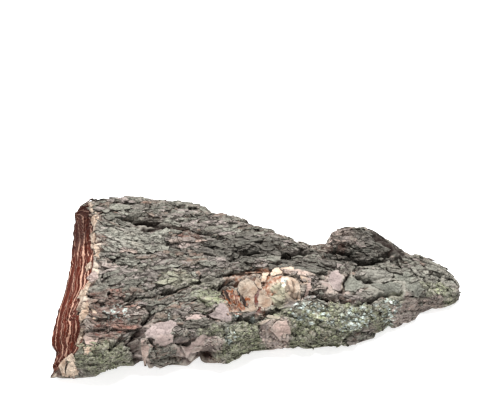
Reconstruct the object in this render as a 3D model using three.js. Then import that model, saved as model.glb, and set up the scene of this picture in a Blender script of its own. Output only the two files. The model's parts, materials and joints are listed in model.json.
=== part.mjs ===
// A slab of old pine bark, broken from the trunk, lying on its inner face.
// It grew as one piece, so it is one solid: a crowned plate of rough outer bark, cut through by furrows that
// run with the grain, with a torn end where its layers show and a narrow tip at the other end.
// Millimetres. +X runs with the grain towards the tip, +Y to the back edge, +Z up, with the floor at z = 0.
import * as THREE from "three";

// Overall form
const HALF_LENGTH = 150;
const THICKNESS_ALONG = [[-150, 38], [-80, 37], [0, 33], [60, 30], [110, 24], [150, 15]];
const CROWN_DROP = 9; // the outer face falls this much from the crown line to the widest edge
const CROWN_LINE_Y = 2;
const CROWN_HALF_WIDTH = 68;
const EDGE_ROUNDING = 12; // how far in from each long edge the outer face starts to roll down
const ROUNDING_SHARE = 0.42; // of the width, where the slab is too narrow for the full rounding
const FLANK_WRAP = 30; // length of surface on each rolled edge
// How far the layers next to the wood outreach the outer ones at the torn end, across the slab
const END_BEVEL = [[-62, 24], [-38, 31], [-26, 28], [0, 30], [60, 25], [85, 22]];
const TIP_END = 152.5;
const TIP_BEVEL = 4; // how far the outer face stops short of the inner one there
const FOOT_BITE = 6.5; // deepest that the relief may bite into the foot of the slab
const FACE_BITE_SHARE = 0.6; // of the thickness, deepest that it may bite into the outer face
const MOST_BITE_SHARE = 0.7;

// Plan outline, from the torn end to the tip
const FRONT_EDGE = [
  [-150, -61], [-119, -60], [-109, -54], [-91, -52], [-80, -53], [-66, -47], [-47, -49], [-29, -50],
  [-7, -40], [25, -37], [66, -34], [85, -28], [95, -20], [115, -12], [119, -7], [131, -6], [146, -2],
  [150, 2],
];
const BACK_EDGE = [
  [-150, 80], [-120, 84], [-90, 82], [-55, 74], [-11, 59], [14, 47], [24, 39], [37, 37], [49, 41], [52, 50],
  [62, 54], [83, 55], [100, 46], [110, 38], [117, 35], [127, 31], [139, 26], [145, 22], [150, 12],
];
const TORN_END = [
  [-62, -141], [-48, -141], [-41, -139], [-31, -147], [-10, -145], [13, -140], [42, -137.5], [56, -134.5],
  [78, -134],
];

// The hollow inner face, and where its rim lifts off the floor
const HOLLOW_HEIGHT = 6;
const HOLLOW_RUN = 30; // distance over which the hollow rises from the flat rim
const RIM_FLAT = 16;
const RIM_LIFTS = [
  { side: -1, x: 5, reach: 72, lift: 1.5 },
  { side: 1, x: 0, reach: 66, lift: 1.8 },
];

// Broad swellings and scars of the outer face: centre, half sizes and height
const SWELLINGS = [
  { x: 70, y: 43, length: 23, width: 14, height: 7 }, // the knob at the back edge
  { x: 92, y: 0, length: 36, width: 12, height: 2.5 }, // the plates on the way to the tip
  { x: -46, y: -38, length: 28, width: 9, height: 2 }, // the smooth plates above the front edge
  { x: 6, y: -6, length: 26, width: 15, height: -4.5 }, // where outer scales have fallen off
  { x: 25, y: -6, length: 11, width: 10, height: 3 }, // the round scale left standing there
  { x: -100, y: -44, length: 15, width: 13, height: -4 },
  { x: -64, y: 49, length: 24, width: 7, height: -4 },
];

// The main furrows between the plates: their depth and half width, and their route in plan
const FRONT_FURROWS = [
  { depth: 10, width: 3.2, route: [[-66, -25], [-72, -30], [-73, -39], [-77, -44], [-80, -50], [-82, -60]] },
  { depth: 6, width: 2.6, route: [[-77, -44], [-84, -46], [-93, -51]] },
  { depth: 5, width: 2.4, route: [[-65, -46], [-54, -44], [-40, -42], [-28, -41]] },
  { depth: 7, width: 3.2, route: [[-38, -50], [-32, -47], [-26, -47]] },
  { depth: 4, width: 2.2, route: [[-49, -28], [-44, -35], [-42, -41]] },
  { depth: 4, width: 2.2, route: [[-24, -32], [-20, -37], [-17, -41]] },
  { depth: 4, width: 2.2, route: [[-33, -24], [-28, -29], [-21, -25]] },
];
const MIDDLE_FURROWS = [
  { depth: 6, width: 2.8, route: [[-63, -5], [-59, -8], [-51, -6], [-37, -1], [-19, -4], [-13, 1]] },
  { depth: 6, width: 2.6, route: [[-39, 1], [-22, 5], [-12, 8], [7, 11]] },
  { depth: 6, width: 2.6, route: [[-9, -27], [4, -28], [18, -22], [34, -9], [49, -10], [66, -13]] },
  { depth: 4, width: 2, route: [[-2, -6], [0, -14], [11, -19]] },
  { depth: 6, width: 2.4, route: [[70, 10], [66, 2], [64, -10]] },
  { depth: 5, width: 2.4, route: [[69, -16], [84, -11], [94, -7], [105, -7]] },
];
const TIP_FURROWS = [
  { depth: 7, width: 3.2, route: [[24, 24], [48, 28], [68, 25], [79, 18], [90, 21], [98, 27]] },
  { depth: 5, width: 2.2, route: [[77, 5], [91, 4], [115, 10], [125, 8]] },
  { depth: 4, width: 2.2, route: [[99, 24], [104, 20], [109, 17]] },
  { depth: 5, width: 2.2, route: [[125, 11], [127, 3]] },
  { depth: 4, width: 2.2, route: [[135, 9], [143, 20]] },
];
const BACK_FURROWS = [
  { depth: 6, width: 3.4, route: [[-91, 55], [-75, 54], [-62, 51]] },
  { depth: 5, width: 2.6, route: [[-77, 44], [-64, 49], [-46, 46], [-20, 40]] },
  { depth: 4, width: 2.4, route: [[-61, 26], [-52, 24], [-38, 31], [-26, 31]] },
  { depth: 5, width: 2.4, route: [[-14, 16], [-6, 24], [6, 26]] },
  { depth: 4, width: 2.2, route: [[-94, 19], [-81, 22], [-66, 21]] },
  { depth: 4, width: 2.4, route: [[-98, 14], [-83, 10], [-73, 14]] },
  { depth: 5, width: 2.4, route: [[-92, -17], [-79, -12], [-63, -3]] },
  { depth: 5, width: 2.4, route: [[-89, -20], [-75, -15], [-58, -9]] },
  { depth: 4, width: 2.4, route: [[-109, 26], [-102, 3], [-99, -8], [-103, -18]] },
];
const FURROWS = [...FRONT_FURROWS, ...MIDDLE_FURROWS, ...TIP_FURROWS, ...BACK_FURROWS];

// The plates that the bark has split into between the furrows
const PLATE_LENGTH = 25;
const PLATE_WIDTH = 12;
const PLATE_STEP = 1.8; // how far plates stand above or below each other
const GROOVE_DEPTH = 2.6;
const GROOVE_SHARE = 0.3; // of a plate
const PLATE_SEED = 11;
const WAVER = { along: 26, across: 15, shiftX: 7, shiftY: 3.5, seed: 5 }; // how the plates' edges wander
const FURROW_WAVER_SHARE = 1 / 3; // the furrows wander this much of that
const LUMPS = { along: 34, across: 17, height: 2.2, seed: 23 };

// The layers that show at the torn end
const LAYER_THICKNESS = 4.4;
const LAYER_WANDER = { share: 0.7, length: 21 }; // of a layer's thickness, up and down over this length
const LAYER_EDGE_SHARE = 1 / 3; // of a layer's thickness, taken up by the step to the next one
const LAYER_STEP = 1.6; // the most that a layer stands out or is worn back
const SPLINTERS = { height: 0.8, across: 12, deep: 9 };
const LAYER_SEED = 41;

// How finely the solid is faceted
const STATIONS = 92;
const FLANK_COLUMNS = 6;
const TOP_COLUMNS = 30;
const COLUMNS = TOP_COLUMNS + 2 * FLANK_COLUMNS;
const END_ROWS = 7;
const TIP_ROWS = 2;
const INNER_SHARES = [0, 0.1, 0.2, 0.35, 0.5, 0.65, 0.8, 0.9, 1]; // of the width, from rim to rim

const clamp = (value, low, high) => Math.min(high, Math.max(low, value));
const smooth = (value) => value * value * (3 - 2 * value);

// A random number from 0 to 1 for each whole-numbered place, the same every time.
function chance(column, row, seed) {
  let bits = (Math.imul(column, 374761393) + Math.imul(row, 668265263) + Math.imul(seed, 974711)) | 0;
  bits = Math.imul(bits ^ (bits >>> 13), 1274126177);
  return ((bits ^ (bits >>> 16)) >>> 0) / 4294967296;
}

// Smooth noise from -1 to 1 between those places.
function noise(x, y, seed) {
  const column = Math.floor(x);
  const row = Math.floor(y);
  const across = smooth(x - column);
  const up = smooth(y - row);
  const low = chance(column, row, seed) * (1 - across) + chance(column + 1, row, seed) * across;
  const high = chance(column, row + 1, seed) * (1 - across) + chance(column + 1, row + 1, seed) * across;
  return (low * (1 - up) + high * up) * 2 - 1;
}

// The value at a place on a line of points.
function along(points, place) {
  let i = 1;
  while (i < points.length - 1 && points[i][0] < place) i += 1;
  const [x0, y0] = points[i - 1];
  const [x1, y1] = points[i];
  return y0 + (y1 - y0) * clamp((place - x0) / (x1 - x0), 0, 1);
}

function distanceToRoute(route, x, y) {
  let nearest = Infinity;
  for (let i = 1; i < route.length; i += 1) {
    const [x0, y0] = route[i - 1];
    const runX = route[i][0] - x0;
    const runY = route[i][1] - y0;
    const share = clamp(((x - x0) * runX + (y - y0) * runY) / (runX ** 2 + runY ** 2), 0, 1);
    nearest = Math.min(nearest, Math.hypot(x - x0 - share * runX, y - y0 - share * runY));
  }
  return nearest;
}

// Height of the outer face before its furrows and plates.
function crownHeight(x, y) {
  let height = along(THICKNESS_ALONG, x) - CROWN_DROP * ((y - CROWN_LINE_Y) / CROWN_HALF_WIDTH) ** 2;
  for (const swelling of SWELLINGS) {
    const away = ((x - swelling.x) / swelling.length) ** 2 + ((y - swelling.y) / swelling.width) ** 2;
    height += swelling.height * Math.exp(-(away ** 2));
  }
  return height;
}

function furrowDepth(x, y) {
  let depth = 0;
  for (const furrow of FURROWS) {
    const away = distanceToRoute(furrow.route, x, y) / furrow.width;
    depth = Math.max(depth, furrow.depth * Math.exp(-(away ** 2)));
  }
  return depth;
}

// Plates of the bark: each stands at its own height, with a groove where it meets the next.
function plateRelief(x, y) {
  const u = x / PLATE_LENGTH;
  const v = y / PLATE_WIDTH;
  let nearest = Infinity;
  let second = Infinity;
  let step = 0;
  for (let i = Math.floor(u) - 1; i <= Math.floor(u) + 1; i += 1) {
    for (let j = Math.floor(v) - 1; j <= Math.floor(v) + 1; j += 1) {
      const away = Math.hypot(i + chance(i, j, PLATE_SEED) - u, j + chance(i, j, PLATE_SEED + 1) - v);
      if (away < nearest) {
        second = nearest;
        nearest = away;
        step = chance(i, j, PLATE_SEED + 2) * 2 - 1;
      } else if (away < second) {
        second = away;
      }
    }
  }
  const groove = 1 - smooth(clamp((second - nearest) / GROOVE_SHARE, 0, 1));
  return PLATE_STEP * step * (1 - groove) - GROOVE_DEPTH * groove;
}

// Everything that stands above or below the plain crowned face, at a place on the unrolled surface.
function relief(x, y, wrap) {
  const shiftX = WAVER.shiftX * noise(x / WAVER.along, wrap / WAVER.across, WAVER.seed);
  const shiftY = WAVER.shiftY * noise(x / WAVER.along, wrap / WAVER.across, WAVER.seed + 1);
  const lumps = LUMPS.height * noise(x / LUMPS.along, wrap / LUMPS.across, LUMPS.seed);
  const furrow = furrowDepth(x + shiftX * FURROW_WAVER_SHARE, y + shiftY * FURROW_WAVER_SHARE);
  return lumps + plateRelief(x + shiftX, wrap + shiftY) - furrow;
}

function rimLift(x, side) {
  const rim = RIM_LIFTS.find((lifted) => lifted.side === side);
  return rim.lift * Math.exp(-(((x - rim.x) / rim.reach) ** 4));
}

// Where the torn end and the tip lie at a place on the slab, so that the stations between them fan out.
const thicknessShare = (x, z) => clamp(z / along(THICKNESS_ALONG, x), 0, 1);
const tornEndX = (y, z) => along(TORN_END, y) + along(END_BEVEL, y) * thicknessShare(-HALF_LENGTH, z);
const tipX = (z) => TIP_END - TIP_BEVEL * thicknessShare(HALF_LENGTH, z);
const stationX = (share, y, z) => tornEndX(y, z) + share * (tipX(z) - tornEndX(y, z));
const stationMiddle = (share) => HALF_LENGTH * (2 * share - 1);

// One cross-section, from the foot of the front edge over the outer face to the foot of the back edge.
function outerSection(share) {
  const middle = stationMiddle(share);
  const front = along(FRONT_EDGE, middle);
  const back = along(BACK_EDGE, middle);
  const rounding = Math.min(EDGE_ROUNDING, ROUNDING_SHARE * (back - front));
  const points = [];
  for (let column = 0; column <= COLUMNS; column += 1) {
    const side = column < COLUMNS / 2 ? -1 : 1;
    const fromEdge = side < 0 ? column : COLUMNS - column;
    const edge = side < 0 ? front : back;
    const rolled = clamp(fromEdge / FLANK_COLUMNS, 0, 1); // 0 at the foot, 1 where the face lies flat
    const angle = (rolled * Math.PI) / 2;
    const across = clamp((column - FLANK_COLUMNS) / TOP_COLUMNS, 0, 1);
    const coreY = front + rounding + across * (back - front - 2 * rounding);
    const y = rolled < 1 ? edge - side * rounding * (1 - Math.cos(angle)) : coreY;
    const x = stationX(share, y, along(THICKNESS_ALONG, middle) * Math.sin(angle));
    const lift = rimLift(middle, side);
    const height = (crownHeight(x, y) - lift) * Math.sin(angle);
    const length = Math.hypot(y - coreY, height);
    const wrap = coreY + side * (1 - rolled) * FLANK_WRAP;
    const faceBite = (length - FOOT_BITE) * FACE_BITE_SHARE * rolled;
    const bite = Math.min(FOOT_BITE + faceBite, MOST_BITE_SHARE * length);
    const grown = Math.max(length + relief(x, y, wrap), length - bite) / length;
    const grownY = coreY + (y - coreY) * grown;
    const grownZ = lift + height * grown;
    points.push({ x: stationX(share, grownY, grownZ), y: grownY, z: grownZ });
  }
  return points;
}

// Height of the hollow inner face.
function innerHeight(x, y, front, back) {
  const inwards = Math.min(y - front, back - y);
  const side = y < (front + back) / 2 ? -1 : 1;
  const hollow = HOLLOW_HEIGHT * smooth(clamp((inwards - RIM_FLAT) / HOLLOW_RUN, 0, 1));
  return hollow + rimLift(x, side) * (1 - clamp(inwards / (RIM_FLAT + HOLLOW_RUN), 0, 1));
}

// How far each layer of the torn end stands out or is worn back.
function layerStep(y, depth) {
  const place = depth / LAYER_THICKNESS + LAYER_WANDER.share * noise(y / LAYER_WANDER.length, 0, LAYER_SEED);
  const layer = Math.floor(place);
  const edge = smooth(clamp((place - layer) / LAYER_EDGE_SHARE, 0, 1));
  const above = chance(layer - 1, 0, LAYER_SEED + 1);
  const here = chance(layer, 0, LAYER_SEED + 1);
  const splinters = SPLINTERS.height * noise(y / SPLINTERS.across, depth / SPLINTERS.deep, LAYER_SEED + 2);
  return LAYER_STEP * (2 * (above + (here - above) * edge) - 1) + splinters;
}

const vertices = [];
const triangles = [];
const addVertex = (x, y, z) => vertices.push(x, y, z) / 3 - 1;

// Joins two rows of vertices that share their ends' places, with as many triangles as both need.
function joinRows(first, second, flipped) {
  let i = 0;
  let j = 0;
  while (i < first.length - 1 || j < second.length - 1) {
    const stepFirst = (i + 1) / (first.length - 1) <= (j + 1) / (second.length - 1);
    const corner = stepFirst ? [first[i], first[i + 1], second[j]] : [first[i], second[j + 1], second[j]];
    if (stepFirst) i += 1;
    else j += 1;
    if (new Set(corner).size < 3) continue;
    triangles.push(...(flipped ? corner.reverse() : corner));
  }
}

const sections = [];
for (let station = 0; station <= STATIONS; station += 1) sections.push(outerSection(station / STATIONS));

// The outer face
const outer = sections.map((section) => section.map((point) => addVertex(point.x, point.y, point.z)));
for (let station = 0; station < STATIONS; station += 1) joinRows(outer[station], outer[station + 1], true);

// The inner face, which shares its two rims with the outer one
const inner = sections.map((section, station) => {
  const front = section[0];
  const back = section[COLUMNS];
  const share = station / STATIONS;
  const row = [outer[station][0]];
  for (const innerShare of INNER_SHARES.slice(1, -1)) {
    const y = front.y + (back.y - front.y) * innerShare;
    const z = innerHeight(stationMiddle(share), y, front.y, back.y);
    row.push(addVertex(stationX(share, y, z), y, z));
  }
  row.push(outer[station][COLUMNS]);
  return row;
});
for (let station = 0; station < STATIONS; station += 1) joinRows(inner[station], inner[station + 1], false);

// The two ends: rows from the outer face down to the inner one
function closeEnd(station, rows, shift, flipped) {
  const section = sections[station];
  const front = section[0];
  const back = section[COLUMNS];
  const middle = stationMiddle(station / STATIONS);
  let above = outer[station];
  for (let row = 1; row < rows; row += 1) {
    const down = row / rows;
    const level = [above[0]];
    for (let column = 1; column < COLUMNS; column += 1) {
      const point = section[column];
      const lowY = front.y + ((back.y - front.y) * column) / COLUMNS;
      const y = point.y + (lowY - point.y) * down;
      const z = point.z + (innerHeight(middle, lowY, front.y, back.y) - point.z) * down;
      level.push(addVertex(shift(y, z, point.z - z), y, z));
    }
    level.push(above[COLUMNS]);
    joinRows(above, level, flipped);
    above = level;
  }
  joinRows(above, inner[station], flipped);
}
closeEnd(0, END_ROWS, (y, z, depth) => tornEndX(y, z) - layerStep(y, depth), false);
closeEnd(STATIONS, TIP_ROWS, (y, z) => tipX(z), true);

const shape = new THREE.BufferGeometry();
shape.setAttribute("position", new THREE.Float32BufferAttribute(vertices, 3));
shape.setIndex(triangles);
shape.computeBoundingBox();
const { min, max } = shape.boundingBox;
shape.translate(-(min.x + max.x) / 2, -(min.y + max.y) / 2, -min.z);
shape.computeVertexNormals();

const bark = new THREE.Mesh(
  shape,
  new THREE.MeshStandardMaterial({ color: 0x6f6d62, roughness: 0.95, metalness: 0, flatShading: true }),
);
bark.name = "bark_slab";

const group = new THREE.Group();
group.add(bark);

export default group;
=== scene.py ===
import math

import bpy
import numpy as np
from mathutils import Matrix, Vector
from mathutils.bvhtree import BVHTree
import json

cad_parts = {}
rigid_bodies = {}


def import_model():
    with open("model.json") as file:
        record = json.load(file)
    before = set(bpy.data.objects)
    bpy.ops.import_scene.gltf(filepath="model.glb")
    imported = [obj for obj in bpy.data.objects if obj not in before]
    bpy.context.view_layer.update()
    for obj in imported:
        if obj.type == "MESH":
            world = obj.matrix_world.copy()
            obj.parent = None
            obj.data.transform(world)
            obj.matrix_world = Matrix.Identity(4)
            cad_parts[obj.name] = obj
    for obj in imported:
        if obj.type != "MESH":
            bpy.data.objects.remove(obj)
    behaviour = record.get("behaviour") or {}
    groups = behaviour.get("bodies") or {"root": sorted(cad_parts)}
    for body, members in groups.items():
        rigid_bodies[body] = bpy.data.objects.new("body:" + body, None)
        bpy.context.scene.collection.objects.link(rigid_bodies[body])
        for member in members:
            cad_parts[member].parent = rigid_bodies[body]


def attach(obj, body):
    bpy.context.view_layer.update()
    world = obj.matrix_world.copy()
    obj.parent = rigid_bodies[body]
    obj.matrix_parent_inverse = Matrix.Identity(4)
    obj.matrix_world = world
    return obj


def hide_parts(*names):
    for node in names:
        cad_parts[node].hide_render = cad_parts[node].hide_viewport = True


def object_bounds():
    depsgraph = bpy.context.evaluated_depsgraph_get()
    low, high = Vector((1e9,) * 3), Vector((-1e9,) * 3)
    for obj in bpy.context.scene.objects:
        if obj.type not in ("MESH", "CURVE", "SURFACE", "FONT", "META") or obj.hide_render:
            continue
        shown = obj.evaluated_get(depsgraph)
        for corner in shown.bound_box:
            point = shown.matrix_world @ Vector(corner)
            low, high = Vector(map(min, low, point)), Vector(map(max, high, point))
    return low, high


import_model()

cad_low, cad_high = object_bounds()


# The view: the camera looks down over the front edge of the slab, with the grain running left to right, and
# the slab fills the lower half of the picture. It lies on a white light table, under a small lamp high behind
# it, a weak broad one in front and a white sky.

IMAGE_WIDTH = 500
SENSOR_WIDTH = 36
PIXELS_PER_METRE = 1360  # where the slab lies
SLAB_PIXEL = (257.6, 289.7)  # where the middle of the slab's footprint is seen
IMAGE_CENTRE = (250, 209.5)
CAMERA_DISTANCE = 0.95
CAMERA_ELEVATION = math.radians(58)


def added(name, data):
    """A new object in the scene."""
    made = bpy.data.objects.new(name, data)
    bpy.context.collection.objects.link(made)
    return made


camera = bpy.data.cameras.new("camera")
camera.sensor_width = SENSOR_WIDTH
camera.lens = SENSOR_WIDTH * PIXELS_PER_METRE * CAMERA_DISTANCE / IMAGE_WIDTH
camera_object = added("camera", camera)
bpy.context.scene.camera = camera_object
view_back = Vector((0, -math.cos(CAMERA_ELEVATION), math.sin(CAMERA_ELEVATION)))
view_up = Vector((0, math.sin(CAMERA_ELEVATION), math.cos(CAMERA_ELEVATION)))
off_right = (SLAB_PIXEL[0] - IMAGE_CENTRE[0]) / PIXELS_PER_METRE
off_down = (SLAB_PIXEL[1] - IMAGE_CENTRE[1]) / PIXELS_PER_METRE
camera_object.location = view_back * CAMERA_DISTANCE - Vector((off_right, 0, 0)) + view_up * off_down
camera_object.rotation_euler = (math.pi / 2 - CAMERA_ELEVATION, 0, 0)


def principled(name, colour, roughness):
    """A new material with a plain Principled shader, and its node tree."""
    material = bpy.data.materials.new(name)
    material.use_nodes = True
    shader = material.node_tree.nodes["Principled BSDF"]
    shader.inputs["Base Color"].default_value = (*colour, 1)
    shader.inputs["Roughness"].default_value = roughness
    return material, material.node_tree, shader


FLOOR_HALF = 4
TABLE_WHITE = (0.9, 0.9, 0.9)
TABLE_GLOW = 0.45
SKY_STRENGTH = 0.46

floor_mesh = bpy.data.meshes.new("floor")
corners = [(-FLOOR_HALF, -FLOOR_HALF, 0), (FLOOR_HALF, -FLOOR_HALF, 0), (FLOOR_HALF, FLOOR_HALF, 0)]
floor_mesh.from_pydata([*corners, (-FLOOR_HALF, FLOOR_HALF, 0)], [], [(0, 1, 2, 3)])
floor = added("floor", floor_mesh)
paper, _, paper_shader = principled("white light table", TABLE_WHITE, roughness=0.9)
paper_shader.inputs["Emission Color"].default_value = (1, 1, 1, 1)
paper_shader.inputs["Emission Strength"].default_value = TABLE_GLOW
floor_mesh.materials.append(paper)


def softbox(name, place, size, power):
    """A square lamp that faces the slab."""
    lamp = bpy.data.lights.new(name, "AREA")
    lamp.size = size
    lamp.energy = power
    lamp_object = added(name, lamp)
    lamp_object.location = place
    lamp_object.rotation_euler = (-Vector(place)).to_track_quat("-Z", "Y").to_euler()


softbox("key lamp", place=(0.1, 0.5, 1.25), size=0.3, power=32)
softbox("fill lamp", place=(-0.3, -1.0, 1.0), size=1.0, power=6)
world = bpy.data.worlds.new("white sky")
world.use_nodes = True
world.node_tree.nodes["Background"].inputs["Color"].default_value = (1, 1, 1, 1)
world.node_tree.nodes["Background"].inputs["Strength"].default_value = SKY_STRENGTH
bpy.context.scene.world = world
bpy.context.scene.view_settings.view_transform = "Standard"
bpy.context.scene.view_settings.look = "None"


# The slab: a plate of old pine bark, grown in thin layers of cork that split into scales as the trunk
# swelled. It broke off along furrows at the front and back, tore across the grain at one end and narrows to
# a tip at the other. It is one piece, so one closed mesh stands for the solid, drawn here in millimetres.

HALF_LENGTH = 150
PLAN_SHIFT = (-4.026, -11.543)  # from the outline's own origin to the middle of the footprint
THICKNESS_ALONG = np.array([[-150, 38], [-80, 37], [0, 33], [60, 30], [110, 24], [150, 15]])
CROWN_DROP = 9
CROWN_LINE_Y = 2
CROWN_HALF_WIDTH = 68
EDGE_ROUNDING = 12
ROUNDING_SHARE = 0.42
FLANK_WRAP = 30
TIP_END = 152.5
TIP_BEVEL = 4
FOOT_BITE = 6.5
FACE_BITE_SHARE = 0.6
MOST_BITE_SHARE = 0.7
END_BEVEL = np.array([[-62, 24], [-38, 31], [-26, 28], [0, 30], [60, 25], [85, 22]])
TORN_END = np.array([
    [-62, -141], [-48, -141], [-41, -139], [-31, -147], [-10, -145], [13, -140], [42, -137.5], [56, -134.5],
    [78, -134],
])
FRONT_EDGE = np.array([
    [-150, -61], [-119, -60], [-109, -54], [-91, -52], [-80, -53], [-66, -47], [-47, -49], [-29, -50],
    [-7, -40], [25, -37], [66, -34], [85, -28], [95, -20], [115, -12], [119, -7], [131, -6], [146, -2],
    [150, 2],
])
BACK_EDGE = np.array([
    [-150, 80], [-120, 84], [-90, 82], [-55, 74], [-11, 59], [14, 47], [24, 39], [37, 37], [49, 41], [52, 50],
    [62, 54], [83, 55], [100, 46], [110, 38], [117, 35], [127, 31], [139, 26], [145, 22], [150, 12],
])
HOLLOW_HEIGHT = 6
HOLLOW_RUN = 30
RIM_FLAT = 16
RIM_LIFTS = {-1: (5, 72, 1.5), 1: (0, 66, 1.8)}  # by side: the middle, the reach and the height of the lift
SWELLINGS = [  # x, y, half length, half width, height
    (70, 43, 23, 14, 7), (92, 0, 36, 12, 2.5), (-46, -38, 28, 9, 2), (6, -6, 26, 15, -4.5),
    (25, -6, 11, 10, 3), (-100, -44, 15, 13, -4), (-64, 49, 24, 7, -4),
]
FURROWS = [  # depth, half width, route
    (10, 3.2, [[-66, -25], [-72, -30], [-73, -39], [-77, -44], [-80, -50], [-82, -60]]),
    (6, 2.6, [[-77, -44], [-84, -46], [-93, -51]]),
    (5, 2.4, [[-65, -46], [-54, -44], [-40, -42], [-28, -41]]),
    (7, 3.2, [[-38, -50], [-32, -47], [-26, -47]]),
    (4, 2.2, [[-49, -28], [-44, -35], [-42, -41]]),
    (4, 2.2, [[-24, -32], [-20, -37], [-17, -41]]),
    (4, 2.2, [[-33, -24], [-28, -29], [-21, -25]]),
    (6, 2.8, [[-63, -5], [-59, -8], [-51, -6], [-37, -1], [-19, -4], [-13, 1]]),
    (6, 2.6, [[-39, 1], [-22, 5], [-12, 8], [7, 11]]),
    (6, 2.6, [[-9, -27], [4, -28], [18, -22], [34, -9], [49, -10], [66, -13]]),
    (4, 2, [[-2, -6], [0, -14], [11, -19]]),
    (6, 2.4, [[70, 10], [66, 2], [64, -10]]),
    (5, 2.4, [[69, -16], [84, -11], [94, -7], [105, -7]]),
    (7, 3.2, [[24, 24], [48, 28], [68, 25], [79, 18], [90, 21], [98, 27]]),
    (5, 2.2, [[77, 5], [91, 4], [115, 10], [125, 8]]),
    (4, 2.2, [[99, 24], [104, 20], [109, 17]]),
    (5, 2.2, [[125, 11], [127, 3]]),
    (4, 2.2, [[135, 9], [143, 20]]),
    (6, 3.4, [[-91, 55], [-75, 54], [-62, 51]]),
    (5, 2.6, [[-77, 44], [-64, 49], [-46, 46], [-20, 40]]),
    (4, 2.4, [[-61, 26], [-52, 24], [-38, 31], [-26, 31]]),
    (5, 2.4, [[-14, 16], [-6, 24], [6, 26]]),
    (4, 2.2, [[-94, 19], [-81, 22], [-66, 21]]),
    (4, 2.4, [[-98, 14], [-83, 10], [-73, 14]]),
    (5, 2.4, [[-92, -17], [-79, -12], [-63, -3]]),
    (5, 2.4, [[-89, -20], [-75, -15], [-58, -9]]),
    (4, 2.4, [[-109, 26], [-102, 3], [-99, -8], [-103, -18]]),
]
PLATE_LENGTH = 25
PLATE_WIDTH = 12
PLATE_STEP = 1.8
GROOVE_DEPTH = 2.6
GROOVE_SHARE = 0.3
PLATE_SEED = 11
LAYER_THICKNESS = 4.4
LAYER_STEP = 1.6
LAYER_SEED = 41


def smooth(value):
    """From 0 to 1, with soft ends."""
    value = np.clip(value, 0, 1)
    return value * value * (3 - 2 * value)


STIR_COLUMN = 374761393
STIR_ROW = 668265263
STIR_SEED = 974711
STIR_BITS = 1274126177
ALL_BITS = 0xFFFFFFFF


def chance(column, row, seed):
    """A random number from 0 to 1 for each whole-numbered place, the same every time."""
    bits = (column * STIR_COLUMN + row * STIR_ROW + seed * STIR_SEED) & ALL_BITS
    bits = ((bits ^ (bits >> 13)) * STIR_BITS) & ALL_BITS
    return (bits ^ (bits >> 16)) / (ALL_BITS + 1)


def noise(x, y, seed):
    """Smooth noise from -1 to 1 between those places."""
    x, y = np.broadcast_arrays(x, y)
    column = np.floor(x).astype(np.int64)
    row = np.floor(y).astype(np.int64)
    across = smooth(x - column)
    up = smooth(y - row)
    low = chance(column, row, seed) * (1 - across) + chance(column + 1, row, seed) * across
    high = chance(column, row + 1, seed) * (1 - across) + chance(column + 1, row + 1, seed) * across
    return (low * (1 - up) + high * up) * 2 - 1


def cells(u, v, seed):
    """How far each place is from the nearest and the second nearest cell point, and the cell's tone."""
    near = np.full(u.shape, np.inf)
    second = near.copy()
    tone = np.zeros(u.shape)
    for i in (-1, 0, 1):
        for j in (-1, 0, 1):
            column = np.floor(u).astype(np.int64) + i
            row = np.floor(v).astype(np.int64) + j
            away = np.hypot(column + chance(column, row, seed) - u, row + chance(column, row, seed + 1) - v)
            nearer = away < near
            second = np.where(nearer, near, np.minimum(second, away))
            tone = np.where(nearer, chance(column, row, seed + 2), tone)
            near = np.where(nearer, away, near)
    return near, second, tone


def along(points, place):
    """The value at a place on a line of points, each a place and its value."""
    return np.interp(place, points[:, 0], points[:, 1])


def furrow_depth(x, y, narrower=1):
    """How deep the furrows are at a place, with their widths times a share."""
    depth = np.zeros(x.shape)
    for deepest, width, route in FURROWS:
        away = np.full(x.shape, np.inf)
        for (x0, y0), (x1, y1) in zip(route, route[1:]):
            share = ((x - x0) * (x1 - x0) + (y - y0) * (y1 - y0)) / ((x1 - x0) ** 2 + (y1 - y0) ** 2)
            share = np.clip(share, 0, 1)
            away = np.minimum(away, np.hypot(x - x0 - share * (x1 - x0), y - y0 - share * (y1 - y0)))
        depth = np.maximum(depth, deepest * np.exp(-((away / (width * narrower)) ** 2)))
    return depth


def crown_height(x, y):
    """Height of the crowned outer face, with its swellings."""
    height = along(THICKNESS_ALONG, x) - CROWN_DROP * ((y - CROWN_LINE_Y) / CROWN_HALF_WIDTH) ** 2
    for at_x, at_y, length, width, rise in SWELLINGS:
        height += rise * np.exp(-((((x - at_x) / length) ** 2 + ((y - at_y) / width) ** 2) ** 2))
    return height


def rim_lift(x, side):
    """How far the front or back rim of the inner face is off the ground."""
    lifts = [lift * np.exp(-(((x - middle) / reach) ** 4)) for middle, reach, lift in RIM_LIFTS.values()]
    return np.where(side < 0, lifts[0], lifts[1])


def torn_end_x(y, z):
    return along(TORN_END, y) + along(END_BEVEL, y) * np.clip(z / THICKNESS_ALONG[0, 1], 0, 1)


def tip_x(z):
    return TIP_END - TIP_BEVEL * np.clip(z / THICKNESS_ALONG[-1, 1], 0, 1)


def station_x(share, y, z):
    """The place of a station, for its share of the way from the torn end to the tip."""
    return torn_end_x(y, z) + share * (tip_x(z) - torn_end_x(y, z))


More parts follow.
